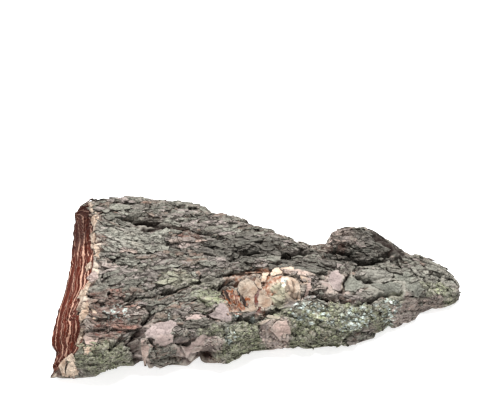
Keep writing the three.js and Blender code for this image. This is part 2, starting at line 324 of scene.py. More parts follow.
# Patches of the outer face: middle, half sizes, turn in degrees, and how ragged the edge is
PATCHES = {
    "smooth": [
        (-65, -38, 11, 8, 10, 0.25), (-76, -50, 6, 9, 0, 0.25), (-4, -9, 6, 14, 10, 0.2),
        (62, 1, 15, 11, 0, 0.35), (-62, 48, 22, 6, -8, 0.3), (-22, -25, 7, 6, 20, 0.3),
        (98, 34, 13, 6, -40, 0.3), (-35, -45, 17, 4, 5, 0.3), (17, -33, 9, 7, 10, 0.3),
        (98, 0, 18, 8, 0, 0.4),
    ],
    "pink": [
        (31, -2, 8, 9, 0, 0.3), (-65, -38, 11, 8, 10, 0.3), (-76, -50, 6, 9, 0, 0.3),
        (-35, -45, 17, 4, 5, 0.3), (-80, -25, 10, 4, 15, 0.4), (-64, -27, 4, 3, 0, 0.3),
        (-22, -25, 8, 6, 20, 0.3), (-41, -27, 6, 3, 0, 0.3), (17, -33, 10, 7, 10, 0.3),
        (60, 1, 13, 11, 0, 0.4), (109, -12, 12, 5, 25, 0.3), (131, -5, 8, 4, 15, 0.3),
        (62, 40, 13, 9, 0, 0.6), (-105, 12, 9, 5, 0, 0.6), (-90, 24, 8, 3, 0, 0.6),
        (-46, 33, 12, 3, 0, 0.6), (-112, -34, 7, 7, 0, 0.4),
    ],
    "cream": [(24, -5, 13, 10, 0, 0.25), (71, -1, 7, 4, 0, 0.4)],
    "orange": [
        (-13, -15, 8, 11, 20, 0.35), (-2, 8, 14, 3, 15, 0.5), (2, -8, 13, 14, 0, 0.4),
        (13, 5, 8, 6, 0, 0.6),
    ],
    "flaky": [
        (-49, 2, 15, 6, -18, 0.3), (-28, 1, 9, 3, -10, 0.3), (17, -11, 9, 9, 0, 0.3),
        (102, -9, 8, 4, 10, 0.3),
    ],
    "green": [
        (45, -28, 60, 11, 11, 0.4), (-104, -52, 24, 8, 0, 0.3), (135, 1, 14, 7, -10, 0.4),
        (-26, -12, 12, 9, 20, 0.5), (-10, -40, 26, 8, 5, 0.4),
    ],
    "mint": [
        (75, -24, 13, 7, 15, 0.6), (98, -15, 8, 5, 10, 0.5), (46, -21, 16, 8, 10, 0.9),
        (-92, -24, 8, 6, -30, 0.7), (-54, -29, 2, 3, 0, 0.3), (-14, -40, 4, 4, 0, 0.5),
        (22, -1, 3, 3, 0, 0.2), (-69, 21, 2, 2, 0, 0.2), (-10, -27, 3, 2, 0, 0.3), (3, -27, 3, 2, 0, 0.3),
    ],
    "red": [
        (-46, 43, 18, 5, -12, 0.4), (-98, -28, 21, 22, 0, 0.4), (60, -12, 11, 3, 0, 0.5),
        (-30, -49, 9, 4, 0, 0.4), (60, 38, 14, 12, 0, 0.5),
    ],
    # dark brown, partly painted shade: under the piece that lay across the slab and on the knob's right-hand
    # slope
    "brown": [(-66, 50, 14, 5, -8, 0.3), (-16, 2, 12, 3, -10, 0.4), (99, 36, 15, 6, -42, 0.3)],
    # darker grey bark, partly painted shadow: of another piece that lay across the middle of the slab, and on
    # the knob's right-hand slope
    "dark": [
        (-8, 27, 38, 11, 0, 0.5), (30, 14, 30, 5, 5, 0.5), (75, 26, 24, 8, 0, 0.4),
        (99, 36, 15, 7, -42, 0.3), (80, 36, 16, 10, 0, 0.5),
    ],
    "pale": [
        (136, 12, 16, 13, 0, 0.5), (100, 6, 28, 13, 0, 0.5), (-88, 34, 26, 14, 0, 0.7),
        (71, -1, 8, 5, 0, 0.5),
    ],
}


PATCH_EDGE = 1.12  # where a patch ends, in its own half sizes
PATCH_SOFTNESS = 0.24


def patch(name, x, y):
    """How much of a patch a place has, from 0 to 1."""
    most = np.zeros(x.shape)
    for index, (at_x, at_y, length, width, turn, ragged) in enumerate(PATCHES[name]):
        cos, sin = math.cos(math.radians(turn)), math.sin(math.radians(turn))
        u = ((x - at_x) * cos + (y - at_y) * sin) / length
        v = ((y - at_y) * cos - (x - at_x) * sin) / width
        edge = 0.7 * noise(x / 5, y / 4, 200 + index) + 0.4 * noise(x / 2, y / 1.7, 230 + index)
        most = np.maximum(most, smooth((PATCH_EDGE - np.hypot(u, v) + ragged * edge) / PATCH_SOFTNESS))
    return most


def ripples(u, v, seed):
    """Noise in two sizes."""
    return noise(u, v * 1.3, seed) + 0.5 * noise(u * 2.7, v * 2.9, seed + 1)


def wavering(x, w, reach):
    """How far the edges of scales wander along and across the grain, for scales of about this length."""
    u, v = x / reach, w / reach
    return ripples(u, v, 71) * reach * 0.3, ripples(u, v, 73) * reach * 0.22


PLATE_WANDER = (7, 3.5)  # how far the big plates' edges wander, and over what stretch
WANDER_SPAN = (26, 15)
PLATE_CURL = 7
FACE_SWELL = 2.2
SWELL_SPAN = (34, 17)
SOLID_FURROW_WANDER = 3  # the furrows wander this many times less
FURROW_NARROWING = 0.7


def plates(x, y, w):
    """The furrows and big plates that the solid has too, with finer edges."""
    over_x, over_w = x / WANDER_SPAN[0], w / WANDER_SPAN[1]
    shift_x = PLATE_WANDER[0] * noise(over_x, over_w, 5)
    shift_y = PLATE_WANDER[1] * noise(over_x, over_w, 6)
    curl_x, curl_y = wavering(x, w, PLATE_CURL)
    u = (x + shift_x + curl_x) / PLATE_LENGTH
    v = (w + shift_y + curl_y) / PLATE_WIDTH
    near, second, tone = cells(u, v, PLATE_SEED)
    groove = 1 - smooth((second - near) / GROOVE_SHARE)
    height = FACE_SWELL * noise(x / SWELL_SPAN[0], w / SWELL_SPAN[1], 23)
    height = height + PLATE_STEP * (tone * 2 - 1) * (1 - groove) - GROOVE_DEPTH * groove
    furrow_x = x + shift_x / SOLID_FURROW_WANDER + curl_x
    furrow_y = y + shift_y / SOLID_FURROW_WANDER + curl_y
    return height - furrow_depth(furrow_x, furrow_y, FURROW_NARROWING)


SCALE_SQUARENESS = 2.6
CELL_WIDTH = 1.35  # of a scale's width
RIM_SOFTNESS = 0.14


def scale_layer(x, w, reach, slimness, seed):
    """Overlapping scales, from 0 to 1 high, with each one's tone, its rim, lighter by wear and a painted
    highlight, and the painted shade beside it.
    """
    u_cell, v_cell = reach, reach * slimness * CELL_WIDTH
    column = np.floor(x / u_cell).astype(np.int64)
    row = np.floor(w / v_cell).astype(np.int64)
    tops, rounds, tones = [], [], []
    for i in (-1, 0, 1):
        for j in (-1, 0, 1):
            at = (column + i, row + j)
            across_u, across_v, turn, long, broad, lean_u, lean_v, high, tone = (
                chance(*at, seed + draw) for draw in range(9))
            u = (x / u_cell - at[0] - across_u) * u_cell
            v = (w / v_cell - at[1] - across_v) * v_cell
            angle = 0.6 * (turn - 0.5)
            along_it = (u * np.cos(angle) + v * np.sin(angle)) / (reach * (0.6 + 0.4 * long))
            across_it = (v * np.cos(angle) - u * np.sin(angle)) / (reach * slimness * (0.8 + 0.4 * broad))
            round_ = np.abs(along_it) ** SCALE_SQUARENESS + np.abs(across_it) ** SCALE_SQUARENESS
            round_ = round_ ** (1 / SCALE_SQUARENESS)
            lean = 0.5 * (lean_u - 0.5) * along_it - (lean_v - 0.25) * across_it
            top = 0.2 + 0.65 * high + 0.35 * lean
            tops.append(top * smooth((1 - round_) / RIM_SOFTNESS))
            rounds.append(round_)
            tones.append(tone)
    tops, rounds, tones = np.array(tops), np.array(rounds), np.array(tones)
    pick = (tops.argmax(0), np.arange(len(x)))
    height = np.maximum(tops[pick], 0)
    lit = smooth((rounds[pick] - 0.6) / 0.25) * smooth((0.98 - rounds[pick]) / 0.08)
    beside = np.clip((1.22 - rounds) / 0.22, 0, 1) * (rounds > 0.95)
    shade = (beside * np.clip(0.8 - height, 0, 1)).max(0)
    return height, tones[pick], lit, shade


SCALE_SIZES = ((12, 0.34, 1.5), (6.5, 0.38, 1.0), (3.6, 0.5, 0.5))  # half length, slimness and height
LIT_SHARES = (1, 0.8, 0.5)  # by size: how much the rims' wear and painted highlight show, and the painted shade beside them
SHADE_SHARES = (1, 1, 0.6)
SWIRL_MIDDLE = (-47, -18)  # where the grain swirls
SWIRL_SPAN = (22, 18)
SWIRL_SHIFT = 15
FAN_LINE_Y = 30  # where it fans out towards the back
FAN_WIDTH = 20
FAN_RUN = 60
FAN_SHIFT = 4
CRUST_GRAIN = (2.3, 2.2)
RINGS_MIDDLE = (24, -5)  # the rings of the disc-like plate, pressed into the slab around it
RINGS_RADII = (13, 10)
RING_COUNT = 5.5
RING_STEP = 0.4


def scale_relief(x, y, w):
    """The scales of the outer face: their height in millimetres, tone, rims lighter by wear and a painted
    highlight, and painted shade at their edges.
    """
    even = 1 - 0.85 * patch("smooth", x, y)
    crust = patch("green", x, y)
    swirl = SWIRL_SHIFT * np.tanh((x - SWIRL_MIDDLE[0]) / SWIRL_SPAN[0])
    swirl = swirl * np.exp(-(((y - SWIRL_MIDDLE[1]) / SWIRL_SPAN[1]) ** 2))
    w = w - swirl + FAN_SHIFT * np.exp(-(((y - FAN_LINE_Y) / FAN_WIDTH) ** 2)) * x / FAN_RUN
    height = np.zeros(x.shape)
    lit = np.zeros(x.shape)
    shade = np.zeros(x.shape)
    tones = []
    for index, (reach, slimness, rise) in enumerate(SCALE_SIZES):
        curl_x, curl_y = wavering(x, w, reach)
        layer = scale_layer(x + curl_x, w + curl_y, reach, slimness, 300 + 20 * index)
        rough = smooth(0.5 + 1.2 * noise(x / 17, w / 12, 340 + index)) if index == 2 else 1
        share = (even if index else 0.4 + 0.6 * even) * rough * (1 - 0.4 * crust * (index > 0))
        height += rise * share * (layer[0] - 0.45)
        tones.append(layer[1])
        lit = np.maximum(lit, layer[2] * share * LIT_SHARES[index])
        shade = np.maximum(shade, layer[3] * share * SHADE_SHARES[index])

    near, second, grain = cells(x / CRUST_GRAIN[0], w / CRUST_GRAIN[1], 91)
    height += crust * (0.6 * (1 - np.clip(near * 1.4, 0, 1) ** 2) * (0.3 + grain))
    shade = np.maximum(shade, crust * 0.5 * (1 - smooth((second - near) / 0.2)))
    height += 0.15 * even * noise(x / 1.9, w / 1.7, 83)

    disc = np.hypot((x - RINGS_MIDDLE[0]) / RINGS_RADII[0], (y - RINGS_MIDDLE[1]) / RINGS_RADII[1])
    disc = disc + 0.1 * noise(x / 4, y / 4, 64)
    ring = disc * RING_COUNT
    height += RING_STEP * (disc < 1) * (1 - (ring - np.floor(ring)) ** 3)
    shade = np.maximum(shade, 0.8 * (disc < 1.02) * np.exp(-(((ring - np.round(ring)) / 0.13) ** 2)))
    return height, 0.5 * tones[0] + 0.5 * tones[1], lit, shade


GRAIN_STEP = 0.84  # spacing of the mesh on the outer face
STATION_COUNT = 336
TORN_ROWS = 40
TIP_ROWS = 10
UNDER_COLUMNS = 20
FLANK_SAMPLES = 60
TOP_SAMPLES = 560
EVENING = 9  # stations over which the length of surface across the slab is evened out
FADE_RUN = 5  # from the foot, where the scales die out

station_share = np.linspace(0, 1, STATION_COUNT + 1)[:, None]
station_middle = HALF_LENGTH * (2 * station_share - 1)
flank = np.arange(FLANK_SAMPLES) / FLANK_SAMPLES
top = np.linspace(0, 1, TOP_SAMPLES + 1)
rolled = np.concatenate([flank, np.ones(TOP_SAMPLES + 1), flank[::-1]])
across = np.concatenate([np.zeros(FLANK_SAMPLES), top, np.ones(FLANK_SAMPLES)])
side = np.where(across < 0.5, -1, 1)

# The crowned face with its furrows and plates, closely sampled across each station
front = along(FRONT_EDGE, station_middle)
back = along(BACK_EDGE, station_middle)
rounding = np.minimum(EDGE_ROUNDING, ROUNDING_SHARE * (back - front))
angle = rolled * math.pi / 2
core_y = front + rounding + across * (back - front - 2 * rounding)
edge_y = np.where(side < 0, front, back) - side * rounding * (1 - np.cos(angle))
y = np.where(rolled < 1, edge_y, core_y)
x = station_x(station_share, y, along(THICKNESS_ALONG, station_middle) * np.sin(angle))
lift = rim_lift(station_middle, side)
height = (crown_height(x, y) - lift) * np.sin(angle)
length = np.hypot(y - core_y, height)
bite = FOOT_BITE + (length - FOOT_BITE) * FACE_BITE_SHARE * rolled
bite = np.minimum(bite, MOST_BITE_SHARE * length)
grown = np.maximum(length + plates(x, y, core_y + side * (1 - rolled) * FLANK_WRAP), length - bite) / length
grown_y = core_y + (y - core_y) * grown
grown_z = lift + height * grown
sampled = np.stack([station_x(station_share, grown_y, grown_z), grown_y, grown_z, x, y])

# Length of surface from the crown line, evened out along the slab so that the scales aren't sheared
steps = np.hypot(np.diff(grown_y, axis=1), np.diff(grown_z, axis=1))
from_foot = np.concatenate([np.zeros((STATION_COUNT + 1, 1)), np.cumsum(steps, axis=1)], axis=1)
lengths = from_foot[:, -1]
crown_share = (CROWN_LINE_Y - front - rounding) / (back - front - 2 * rounding)
crown_at = FLANK_SAMPLES + np.clip(crown_share[:, 0], 0, 1) * TOP_SAMPLES
from_crown = [run - np.interp(at, np.arange(len(run)), run) for run, at in zip(from_foot, crown_at)]
padded = np.pad(np.array(from_crown), ((EVENING, EVENING), (0, 0)), mode="edge")
evened = sum(padded[k:k + STATION_COUNT + 1] for k in range(2 * EVENING + 1)) / (2 * EVENING + 1)

outer_rows = []
blocks = []
count = 0
for station in range(STATION_COUNT + 1):
    columns = round(lengths[station] / GRAIN_STEP)
    even_steps = np.linspace(0, lengths[station], columns + 1)
    row = [np.interp(even_steps, from_foot[station], line[station]) for line in (*sampled, evened)]
    foot = np.minimum(even_steps, lengths[station] - even_steps)
    blocks.append(np.stack([*row, foot]))
    outer_rows.append(list(range(count, count + columns + 1)))
    count += columns + 1
blocks = np.concatenate(blocks, axis=1)
surface = blocks[:3].T.copy()
plan_x, plan_y, wrap, foot = blocks[3:]
faces = []


def join_rows(first, second, flipped):
    """Triangles between two rows of vertices, as many as both need."""
    i = j = 0
    while i < len(first) - 1 or j < len(second) - 1:
        if (i + 1) * (len(second) - 1) <= (j + 1) * (len(first) - 1):
            corner = (first[i], first[i + 1], second[j])
            i += 1
        else:
            corner = (first[i], second[j + 1], second[j])
            j += 1
        if len(set(corner)) == 3:
            faces.append(corner[::-1] if flipped else corner)


for station in range(STATION_COUNT):
    join_rows(outer_rows[station], outer_rows[station + 1], True)


def vertex_normals(points, triangles):
    corners = points[triangles]
    face_normals = np.cross(corners[:, 1] - corners[:, 0], corners[:, 2] - corners[:, 0])
    total = np.stack([
        sum(np.bincount(triangles[:, k], face_normals[:, axis], len(points)) for k in range(3))
        for axis in range(3)
    ], axis=1)
    return total / np.maximum(np.linalg.norm(total, axis=1), 1e-9)[:, None]


# The scales stand out along the normals of that face, so they stay as fine on the furrows' slopes
scales, tone, lit, shade = scale_relief(plan_x, plan_y, wrap)
scales *= smooth(foot / FADE_RUN)
surface += vertex_normals(surface, np.array(faces)) * scales[:, None]
surface[:, 2] = np.maximum(surface[:, 2], 0)  # nothing reaches below the ground

OUTER, TORN, UNDER = 0, 1, 2
vertices = [surface]
skin = {"plan_x": [plan_x], "plan_y": [plan_y], "tone": [tone], "lit": [lit], "shade": [shade]}
skin |= {name: [0 * plan_x] for name in ("layer", "rim", "part")}


def add_vertices(points, part, layer=0, rim=0):
    """Adds a row of vertices of the torn end, the tip or the underside."""
    first = sum(len(block) for block in vertices)
    vertices.append(points)
    plain = np.zeros(len(points))
    given = {"plan_x": points[:, 0], "plan_y": points[:, 1], "tone": plain + 0.5, "layer": plain + layer,
             "rim": plain + rim, "part": plain + part}
    for name, values in skin.items():
        values.append(given.get(name, plain))
    return list(range(first, first + len(points)))


def inner_height(middle, y, front, back):
    """Height of the hollow inner face."""
    inwards = np.minimum(y - front, back - y)
    side = np.where(y < (front + back) / 2, -1, 1)
    hollow = HOLLOW_HEIGHT * smooth((inwards - RIM_FLAT) / HOLLOW_RUN)
    return hollow + rim_lift(middle, side) * (1 - np.clip(inwards / (RIM_FLAT + HOLLOW_RUN), 0, 1))


inner_rows = []
for station in range(STATION_COUNT + 1):
    share = station / STATION_COUNT
    front, back = surface[outer_rows[station][0]], surface[outer_rows[station][-1]]
    y = front[1] + (back[1] - front[1]) * np.arange(1, UNDER_COLUMNS) / UNDER_COLUMNS
    z = inner_height(HALF_LENGTH * (2 * share - 1), y, front[1], back[1])
    fibre = 0.3 + 0.3 * noise(np.full(y.shape, share * 9), y / 4, 95)
    z += fibre * smooth(np.minimum(y - front[1], back[1] - y) / RIM_FLAT - 1)
    row = np.stack([station_x(share, y, z), y, z], axis=1)
    inner_rows.append([outer_rows[station][0], *add_vertices(row, UNDER), outer_rows[station][-1]])
for station in range(STATION_COUNT):
    join_rows(inner_rows[station], inner_rows[station + 1], False)

LAYER_COUNT = 5.2  # sheets that show between the outer face and the inner one
BULGE_SPAN = (-12, -6, 0, 6, 12)  # the stretch of the torn end that its own line is smoothed over


def end_bulge(y):
    """How far the torn end leaves its own smoothed line, as a share of the width of its face."""
    nearby = sum(along(TORN_END, y + away) for away in BULGE_SPAN) / len(BULGE_SPAN)
    return (along(TORN_END, y) - nearby) / along(END_BEVEL, y)


def layer_wave(y, down):
    """Which sheet of the torn end lies at a place. The pale ones lie half way between whole numbers."""
    down = down - end_bulge(y)
    return LAYER_COUNT * down + 0.4 * noise(y / 30, down * 2, 93) + 0.07 * noise(y / 9, down * 5, 94)


def rim_band(y, down):
    """The broken cream band along the upper rim of the torn end."""
    reach = 0.05 + 0.09 * noise(y / 13, 0 * y, 88) + 0.05 * noise(y / 4, 0 * y, 89)
    return smooth((reach - down) / 0.03)


def close_end(station, rows, shift, part, flipped):
    """Rows of vertices from the outer face down to the inner one, across the torn end or the tip."""
    top = surface[outer_rows[station][0]:outer_rows[station][-1] + 1]
    columns = len(top) - 1
    low = np.arange(columns + 1) / columns
    low_y = top[0, 1] + (top[-1, 1] - top[0, 1]) * low
    low_z = inner_height(HALF_LENGTH * (2 * station / STATION_COUNT - 1), low_y, top[0, 1], top[-1, 1])
    above = outer_rows[station]
    for row in range(1, rows):
        down = row / rows
        y = (top[:, 1] + (low_y - top[:, 1]) * down)[1:-1]
        z = (top[:, 2] + (low_z - top[:, 2]) * down)[1:-1]
        level = np.stack([shift(y, z, top[1:-1, 2] - z, down), y, z], axis=1)
        skirt = add_vertices(level, part, layer_wave(y, down), rim_band(y, down))
        level_row = [above[0], *skirt, above[-1]]
        join_rows(above, level_row, flipped)
        above = level_row
    join_rows(above, inner_rows[station], flipped)


def layer_step(y, depth):
    """How far each layer of the torn end stands out or is worn back, as on the solid."""
    place = depth / LAYER_THICKNESS + 0.7 * noise(y / 21, 0 * y, LAYER_SEED)
    layer = np.floor(place).astype(np.int64)
    above = chance(layer - 1, 0 * layer, LAYER_SEED + 1)
    here = chance(layer, 0 * layer, LAYER_SEED + 1)
    splinters = 0.8 * noise(y / 12, depth / 9, LAYER_SEED + 2)
    return LAYER_STEP * (2 * (above + (here - above) * smooth((place - layer) * 3)) - 1) + splinters


def torn_shift(y, z, depth, down):
    """The torn end, with the pale sheets standing out between the worn cork, and fibres along them."""
    sheet = layer_wave(y, down)
    proud = 0.35 * np.exp(-(((sheet - np.floor(sheet) - 0.5) / 0.13) ** 2))
    fibres = 0.4 * noise(y / 15, sheet * 3, 96) + 0.15 * noise(y / 5, sheet * 7, 97)
    return torn_end_x(y, z) - 0.7 * layer_step(y, depth) - proud - fibres - rim_band(y, down)


def tip_shift(y, z, depth, down):
    """The blunt end of the tip, a little rough."""
    return tip_x(z) + 0.4 * noise(y / 3, z / 3, 98)


close_end(0, TORN_ROWS, torn_shift, TORN, False)
close_end(STATION_COUNT, TIP_ROWS, tip_shift, OUTER, True)

MILLIMETRE = 0.001
BOX_EASE = 0.0018  # from the walls and the lid of the solid's box, where the surface is pressed inwards


def inside_box(points):
    """Points in metres, eased in where they would leave the solid's box."""
    middle = (np.array(cad_high) + np.array(cad_low)) / 2
    half = (np.array(cad_high) - np.array(cad_low)) / 2
    away = points - middle
    over = np.abs(away) - half + BOX_EASE
    eased = np.sign(away) * (half - BOX_EASE * np.exp(-np.maximum(over, 0) / BOX_EASE))
    places = middle + np.where(over > 0, eased, away)
    places[:, 2] = np.where(away[:, 2] < 0, np.maximum(points[:, 2], 0), places[:, 2])
    return places


vertices = np.concatenate(vertices)
vertices[:, :2] += PLAN_SHIFT
vertices = inside_box(vertices * MILLIMETRE)
slab_mesh = bpy.data.meshes.new("bark_slab_skin")
slab_mesh.from_pydata(vertices.tolist(), [], faces)
slab_mesh.validate()
slab = added("bark_slab_skin", slab_mesh)

# Where the surface lies in a hollow or on a ridge, from how far it lies under or above its own smoothed shape
edges = np.empty(len(slab_mesh.edges) * 2, dtype=np.int32)
slab_mesh.edges.foreach_get("vertices", edges)
ends_a, ends_b = edges[0::2], edges[1::2]
neighbours = np.bincount(edges, minlength=len(vertices))
normals = vertex_normals(vertices, np.array(faces))


def smoothed(points, times):
    """The same points after each has moved half way to the middle of its neighbours, so many times."""
    for _ in range(times):
        total = np.stack([
            np.bincount(ends_a, way[ends_b], len(points)) + np.bincount(ends_b, way[ends_a], len(points))
            for way in points.T
        ], axis=1)
        points = 0.5 * points + 0.5 * total / neighbours[:, None]
    return points


near_smooth = smoothed(vertices, 3)
wide_smooth = smoothed(near_smooth, 22)
near_sink = ((near_smooth - vertices) * normals).sum(1) / MILLIMETRE
wide_sink = ((wide_smooth - vertices) * normals).sum(1) / MILLIMETRE
skin = {name: np.concatenate(values) for name, values in skin.items()}
outside = skin["part"] == OUTER
masks = {name: patch(name, skin["plan_x"], skin["plan_y"]) * outside for name in PATCHES}
from_torn_end = skin["plan_x"] - torn_end_x(skin["plan_y"], vertices[:, 2] / MILLIMETRE)
along_end = skin["plan_y"]

# A pale strip of broken rims beside the torn end, and red cork that it has laid bare
STRIP_WIDTH = 1.2
STRIP_WANDER = 4.5
FRESH_WIDTH = 8
FRESH_WANDER = 5
strip = STRIP_WIDTH + STRIP_WANDER * noise(along_end / 9, 0 * along_end, 86)
strip += 1.5 * noise(along_end / 2.5, from_torn_end / 3, 87)
strip = smooth((strip - from_torn_end) / 0.6) * outside
fresh_cork = FRESH_WIDTH + FRESH_WANDER * noise(along_end / 11, 0 * along_end, 85) - from_torn_end
fresh_cork = smooth(fresh_cork / 4) * outside
masks["cream"] = np.maximum(masks["cream"], strip)
masks["smooth"] = np.maximum(masks["smooth"], strip)
masks["red"] = np.maximum(masks["red"], fresh_cork * (1 - masks["green"]))
# Painted shade in the hollows and beside the higher scales' edges; painted highlights, which also stand for
# wear, on the ridges and the scales' rims
masks["hollow"] = np.clip(near_sink / 0.3, 0, 1) * 0.5 + np.clip(wide_sink / 2, 0, 1) * 0.35
masks["hollow"] += 0.6 * skin["shade"]
masks["ridge"] = np.clip(-near_sink / 0.3, 0, 1) * 0.5 + np.clip(-wide_sink / 1.2, 0, 1) * 0.3
masks["ridge"] += 0.5 * skin["lit"]
masks["hollow"] *= (1 - 0.7 * masks["orange"]) * np.where(skin["part"] == TORN, 0.5, 1)
masks["ridge"] *= outside * (1 - 0.8 * masks["dark"])
masks["torn"] = (skin["part"] == TORN).astype(float)
# The torn end is darker towards its back and front ends: painted shade
end_shade = smooth((along_end - 26) / 24) + 0.6 * smooth((-along_end - 26) / 26)
masks["dark"] = np.maximum(masks["dark"], masks["torn"] * end_shade)
masks["under"] = (skin["part"] == UNDER).astype(float)
masks |= {name: skin[name] for name in ("tone", "layer", "rim")}
masks["lightness"] = 0.85 + 0.45 * strip


def store(mesh, name, values, kind="FLOAT"):
    """Gives each vertex of a mesh a value, or a direction, that materials and trees can read."""
    attribute = mesh.attributes.new(name, kind, "POINT")
    field = "value" if kind == "FLOAT" else "vector"
    attribute.data.foreach_set(field, values.astype(np.float32).ravel())


for name, values in masks.items():
    store(slab_mesh, name, values)


def linear(red, green, blue):
    """A colour given as it looks on a screen, from 0 to 255, as the shader needs it."""
    channels = []
    for value in (red, green, blue):
        value /= 255
        channels.append(value / 12.92 if value <= 0.04045 else ((value + 0.055) / 1.055) ** 2.4)
    return tuple(channels)


def node(tree, kind, **settings):
    """A new node of a tree, with its settings."""
    made = tree.nodes.new(kind)
    for name, value in settings.items():
        setattr(made, name, value)
    return made


def wire(tree, value, socket):
    """Links a socket, or sets a plain value."""
    if isinstance(value, bpy.types.NodeSocket):
        tree.links.new(value, socket)
    elif isinstance(value, tuple) and len(value) == 3 and socket.type == "RGBA":
        socket.default_value = (*value, 1)
    else:
        socket.default_value = value


def mix(tree, share, first, second, blend="MIX"):
    """The first colour, with so much of the second over it."""
    made = node(tree, "ShaderNodeMix", data_type="RGBA", blend_type=blend)
    wire(tree, share, made.inputs[0])
    wire(tree, first, made.inputs[6])
    wire(tree, second, made.inputs[7])
    return made.outputs[2]


def maths(tree, operation, first, second=0.0, third=0.0):
    made = node(tree, "ShaderNodeMath", operation=operation)
    for socket, value in zip(made.inputs, (first, second, third)):
        wire(tree, value, socket)
    return made.outputs[0]


def spread(tree, value, low, high, to_low=0.0, to_high=1.0):
    """A value from low to high, spread from to_low to to_high."""
    made = node(tree, "ShaderNodeMapRange")
    for socket, given in zip(made.inputs, (value, low, high, to_low, to_high)):
        wire(tree, given, socket)
    return made.outputs[0]


def speckle(tree, scale, detail=3.0, roughness=0.55, stretch=(1, 1, 1)):
    """Noise on the piece's own coordinates, from about 0 to 1."""
    place = node(tree, "ShaderNodeTexCoord")
    mapping = node(tree, "ShaderNodeMapping")
    mapping.inputs["Scale"].default_value = stretch
    tree.links.new(place.outputs["Object"], mapping.inputs["Vector"])
    made = node(tree, "ShaderNodeTexNoise")
    made.inputs["Scale"].default_value = scale
    made.inputs["Detail"].default_value = detail
    made.inputs["Roughness"].default_value = roughness
    tree.links.new(mapping.outputs["Vector"], made.inputs["Vector"])
    return made.outputs["Fac"]


def mask(tree, name):
    return node(tree, "ShaderNodeAttribute", attribute_name=name).outputs["Fac"]


# Thin curling cracks between the smallest scales: a mask of the lines, and the height and tone between them
crazing = bpy.data.node_groups.new("curling cracks", "ShaderNodeTree")
for name in ("Cells per metre", "Stretch", "Curl", "Line width"):
    crazing.interface.new_socket(name, in_out="INPUT", socket_type="NodeSocketFloat")
for name in ("Line", "Height", "Tone"):
    crazing.interface.new_socket(name, in_out="OUTPUT", socket_type="NodeSocketFloat")
given = crazing.nodes.new("NodeGroupInput").outputs
put_out = crazing.nodes.new("NodeGroupOutput").inputs
place = node(crazing, "ShaderNodeTexCoord").outputs["Object"]
warp = node(crazing, "ShaderNodeTexNoise")
warp.inputs["Detail"].default_value = 2
crazing.links.new(place, warp.inputs["Vector"])
wire(crazing, maths(crazing, "MULTIPLY", given["Cells per metre"], 0.8), warp.inputs["Scale"])
shift = node(crazing, "ShaderNodeVectorMath", operation="MULTIPLY_ADD")
crazing.links.new(warp.outputs["Color"], shift.inputs[0])
reach = maths(crazing, "DIVIDE", given["Curl"], given["Cells per metre"])
wire(crazing, reach, shift.inputs[1])
crazing.links.new(place, shift.inputs[2])
squeeze = node(crazing, "ShaderNodeCombineXYZ")
wire(crazing, maths(crazing, "DIVIDE", 1.0, given["Stretch"]), squeeze.inputs[0])
squeeze.inputs[1].default_value = 1
squeeze.inputs[2].default_value = 1
stretched = node(crazing, "ShaderNodeVectorMath", operation="MULTIPLY")
crazing.links.new(shift.outputs[0], stretched.inputs[0])
crazing.links.new(squeeze.outputs[0], stretched.inputs[1])
for feature in ("DISTANCE_TO_EDGE", "F1"):
    voronoi = node(crazing, "ShaderNodeTexVoronoi", feature=feature)
    crazing.links.new(stretched.outputs[0], voronoi.inputs["Vector"])
    wire(crazing, given["Cells per metre"], voronoi.inputs["Scale"])
    if feature == "F1":
        tone_parts = node(crazing, "ShaderNodeSeparateColor")
        crazing.links.new(voronoi.outputs["Color"], tone_parts.inputs[0])
        crazing.links.new(tone_parts.outputs[0], put_out["Tone"])
    else:
        from_edge = voronoi.outputs["Distance"]
crazing.links.new(spread(crazing, from_edge, 0.0, given["Line width"], 1.0, 0.0), put_out["Line"])
crazing.links.new(spread(crazing, from_edge, 0.0, 0.25), put_out["Height"])


def crazed(tree, cells_per_metre, stretch, curl, width):
    """The cracks at one size: the outputs of the group."""
    made = node(tree, "ShaderNodeGroup", node_tree=crazing)
    sizes = {"Cells per metre": cells_per_metre, "Stretch": stretch, "Curl": curl, "Line width": width}
    for name, value in sizes.items():
        made.inputs[name].default_value = value
    return made.outputs


# Painted shade in crevices and hollows, and worn edges made lighter still by a painted highlight, which every
# finish of the bark shares
painted_light_wear_and_grain = bpy.data.node_groups.new("painted_light_wear_and_grain", "ShaderNodeTree")
for name, kind in (("Color", "Color"), ("Hollow", "Float"), ("Ridge", "Float"), ("Depth of shade", "Float")):
    painted_light_wear_and_grain.interface.new_socket(name, in_out="INPUT", socket_type=f"NodeSocket{kind}")
painted_light_wear_and_grain.interface.new_socket("Color", in_out="OUTPUT", socket_type="NodeSocketColor")
painted_light_wear_and_grain.interface.new_socket("Height", in_out="OUTPUT", socket_type="NodeSocketFloat")
given = painted_light_wear_and_grain.nodes.new("NodeGroupInput").outputs
put_out = painted_light_wear_and_grain.nodes.new("NodeGroupOutput").inputs
WORN_AND_HIGHLIT_EDGE = linear(196, 190, 178)
CREVICE_SHADE = linear(26, 19, 14)
grain = speckle(painted_light_wear_and_grain, 700, 4, 0.65)
dark_grain = spread(painted_light_wear_and_grain, grain, 0.32, 0.52, 0.72, 1.0)
broken = maths(painted_light_wear_and_grain, "MULTIPLY", given["Hollow"], spread(painted_light_wear_and_grain, grain, 0.25, 0.7, 1.25, 0.8))
shade = maths(painted_light_wear_and_grain, "MULTIPLY", broken, given["Depth of shade"])
# ridges and rims: lighter by wear and by a painted highlight
worn = mix(painted_light_wear_and_grain, maths(painted_light_wear_and_grain, "MULTIPLY", given["Ridge"], 0.55), given["Color"], WORN_AND_HIGHLIT_EDGE)
grained = mix(painted_light_wear_and_grain, 1.0, worn, dark_grain, "MULTIPLY")
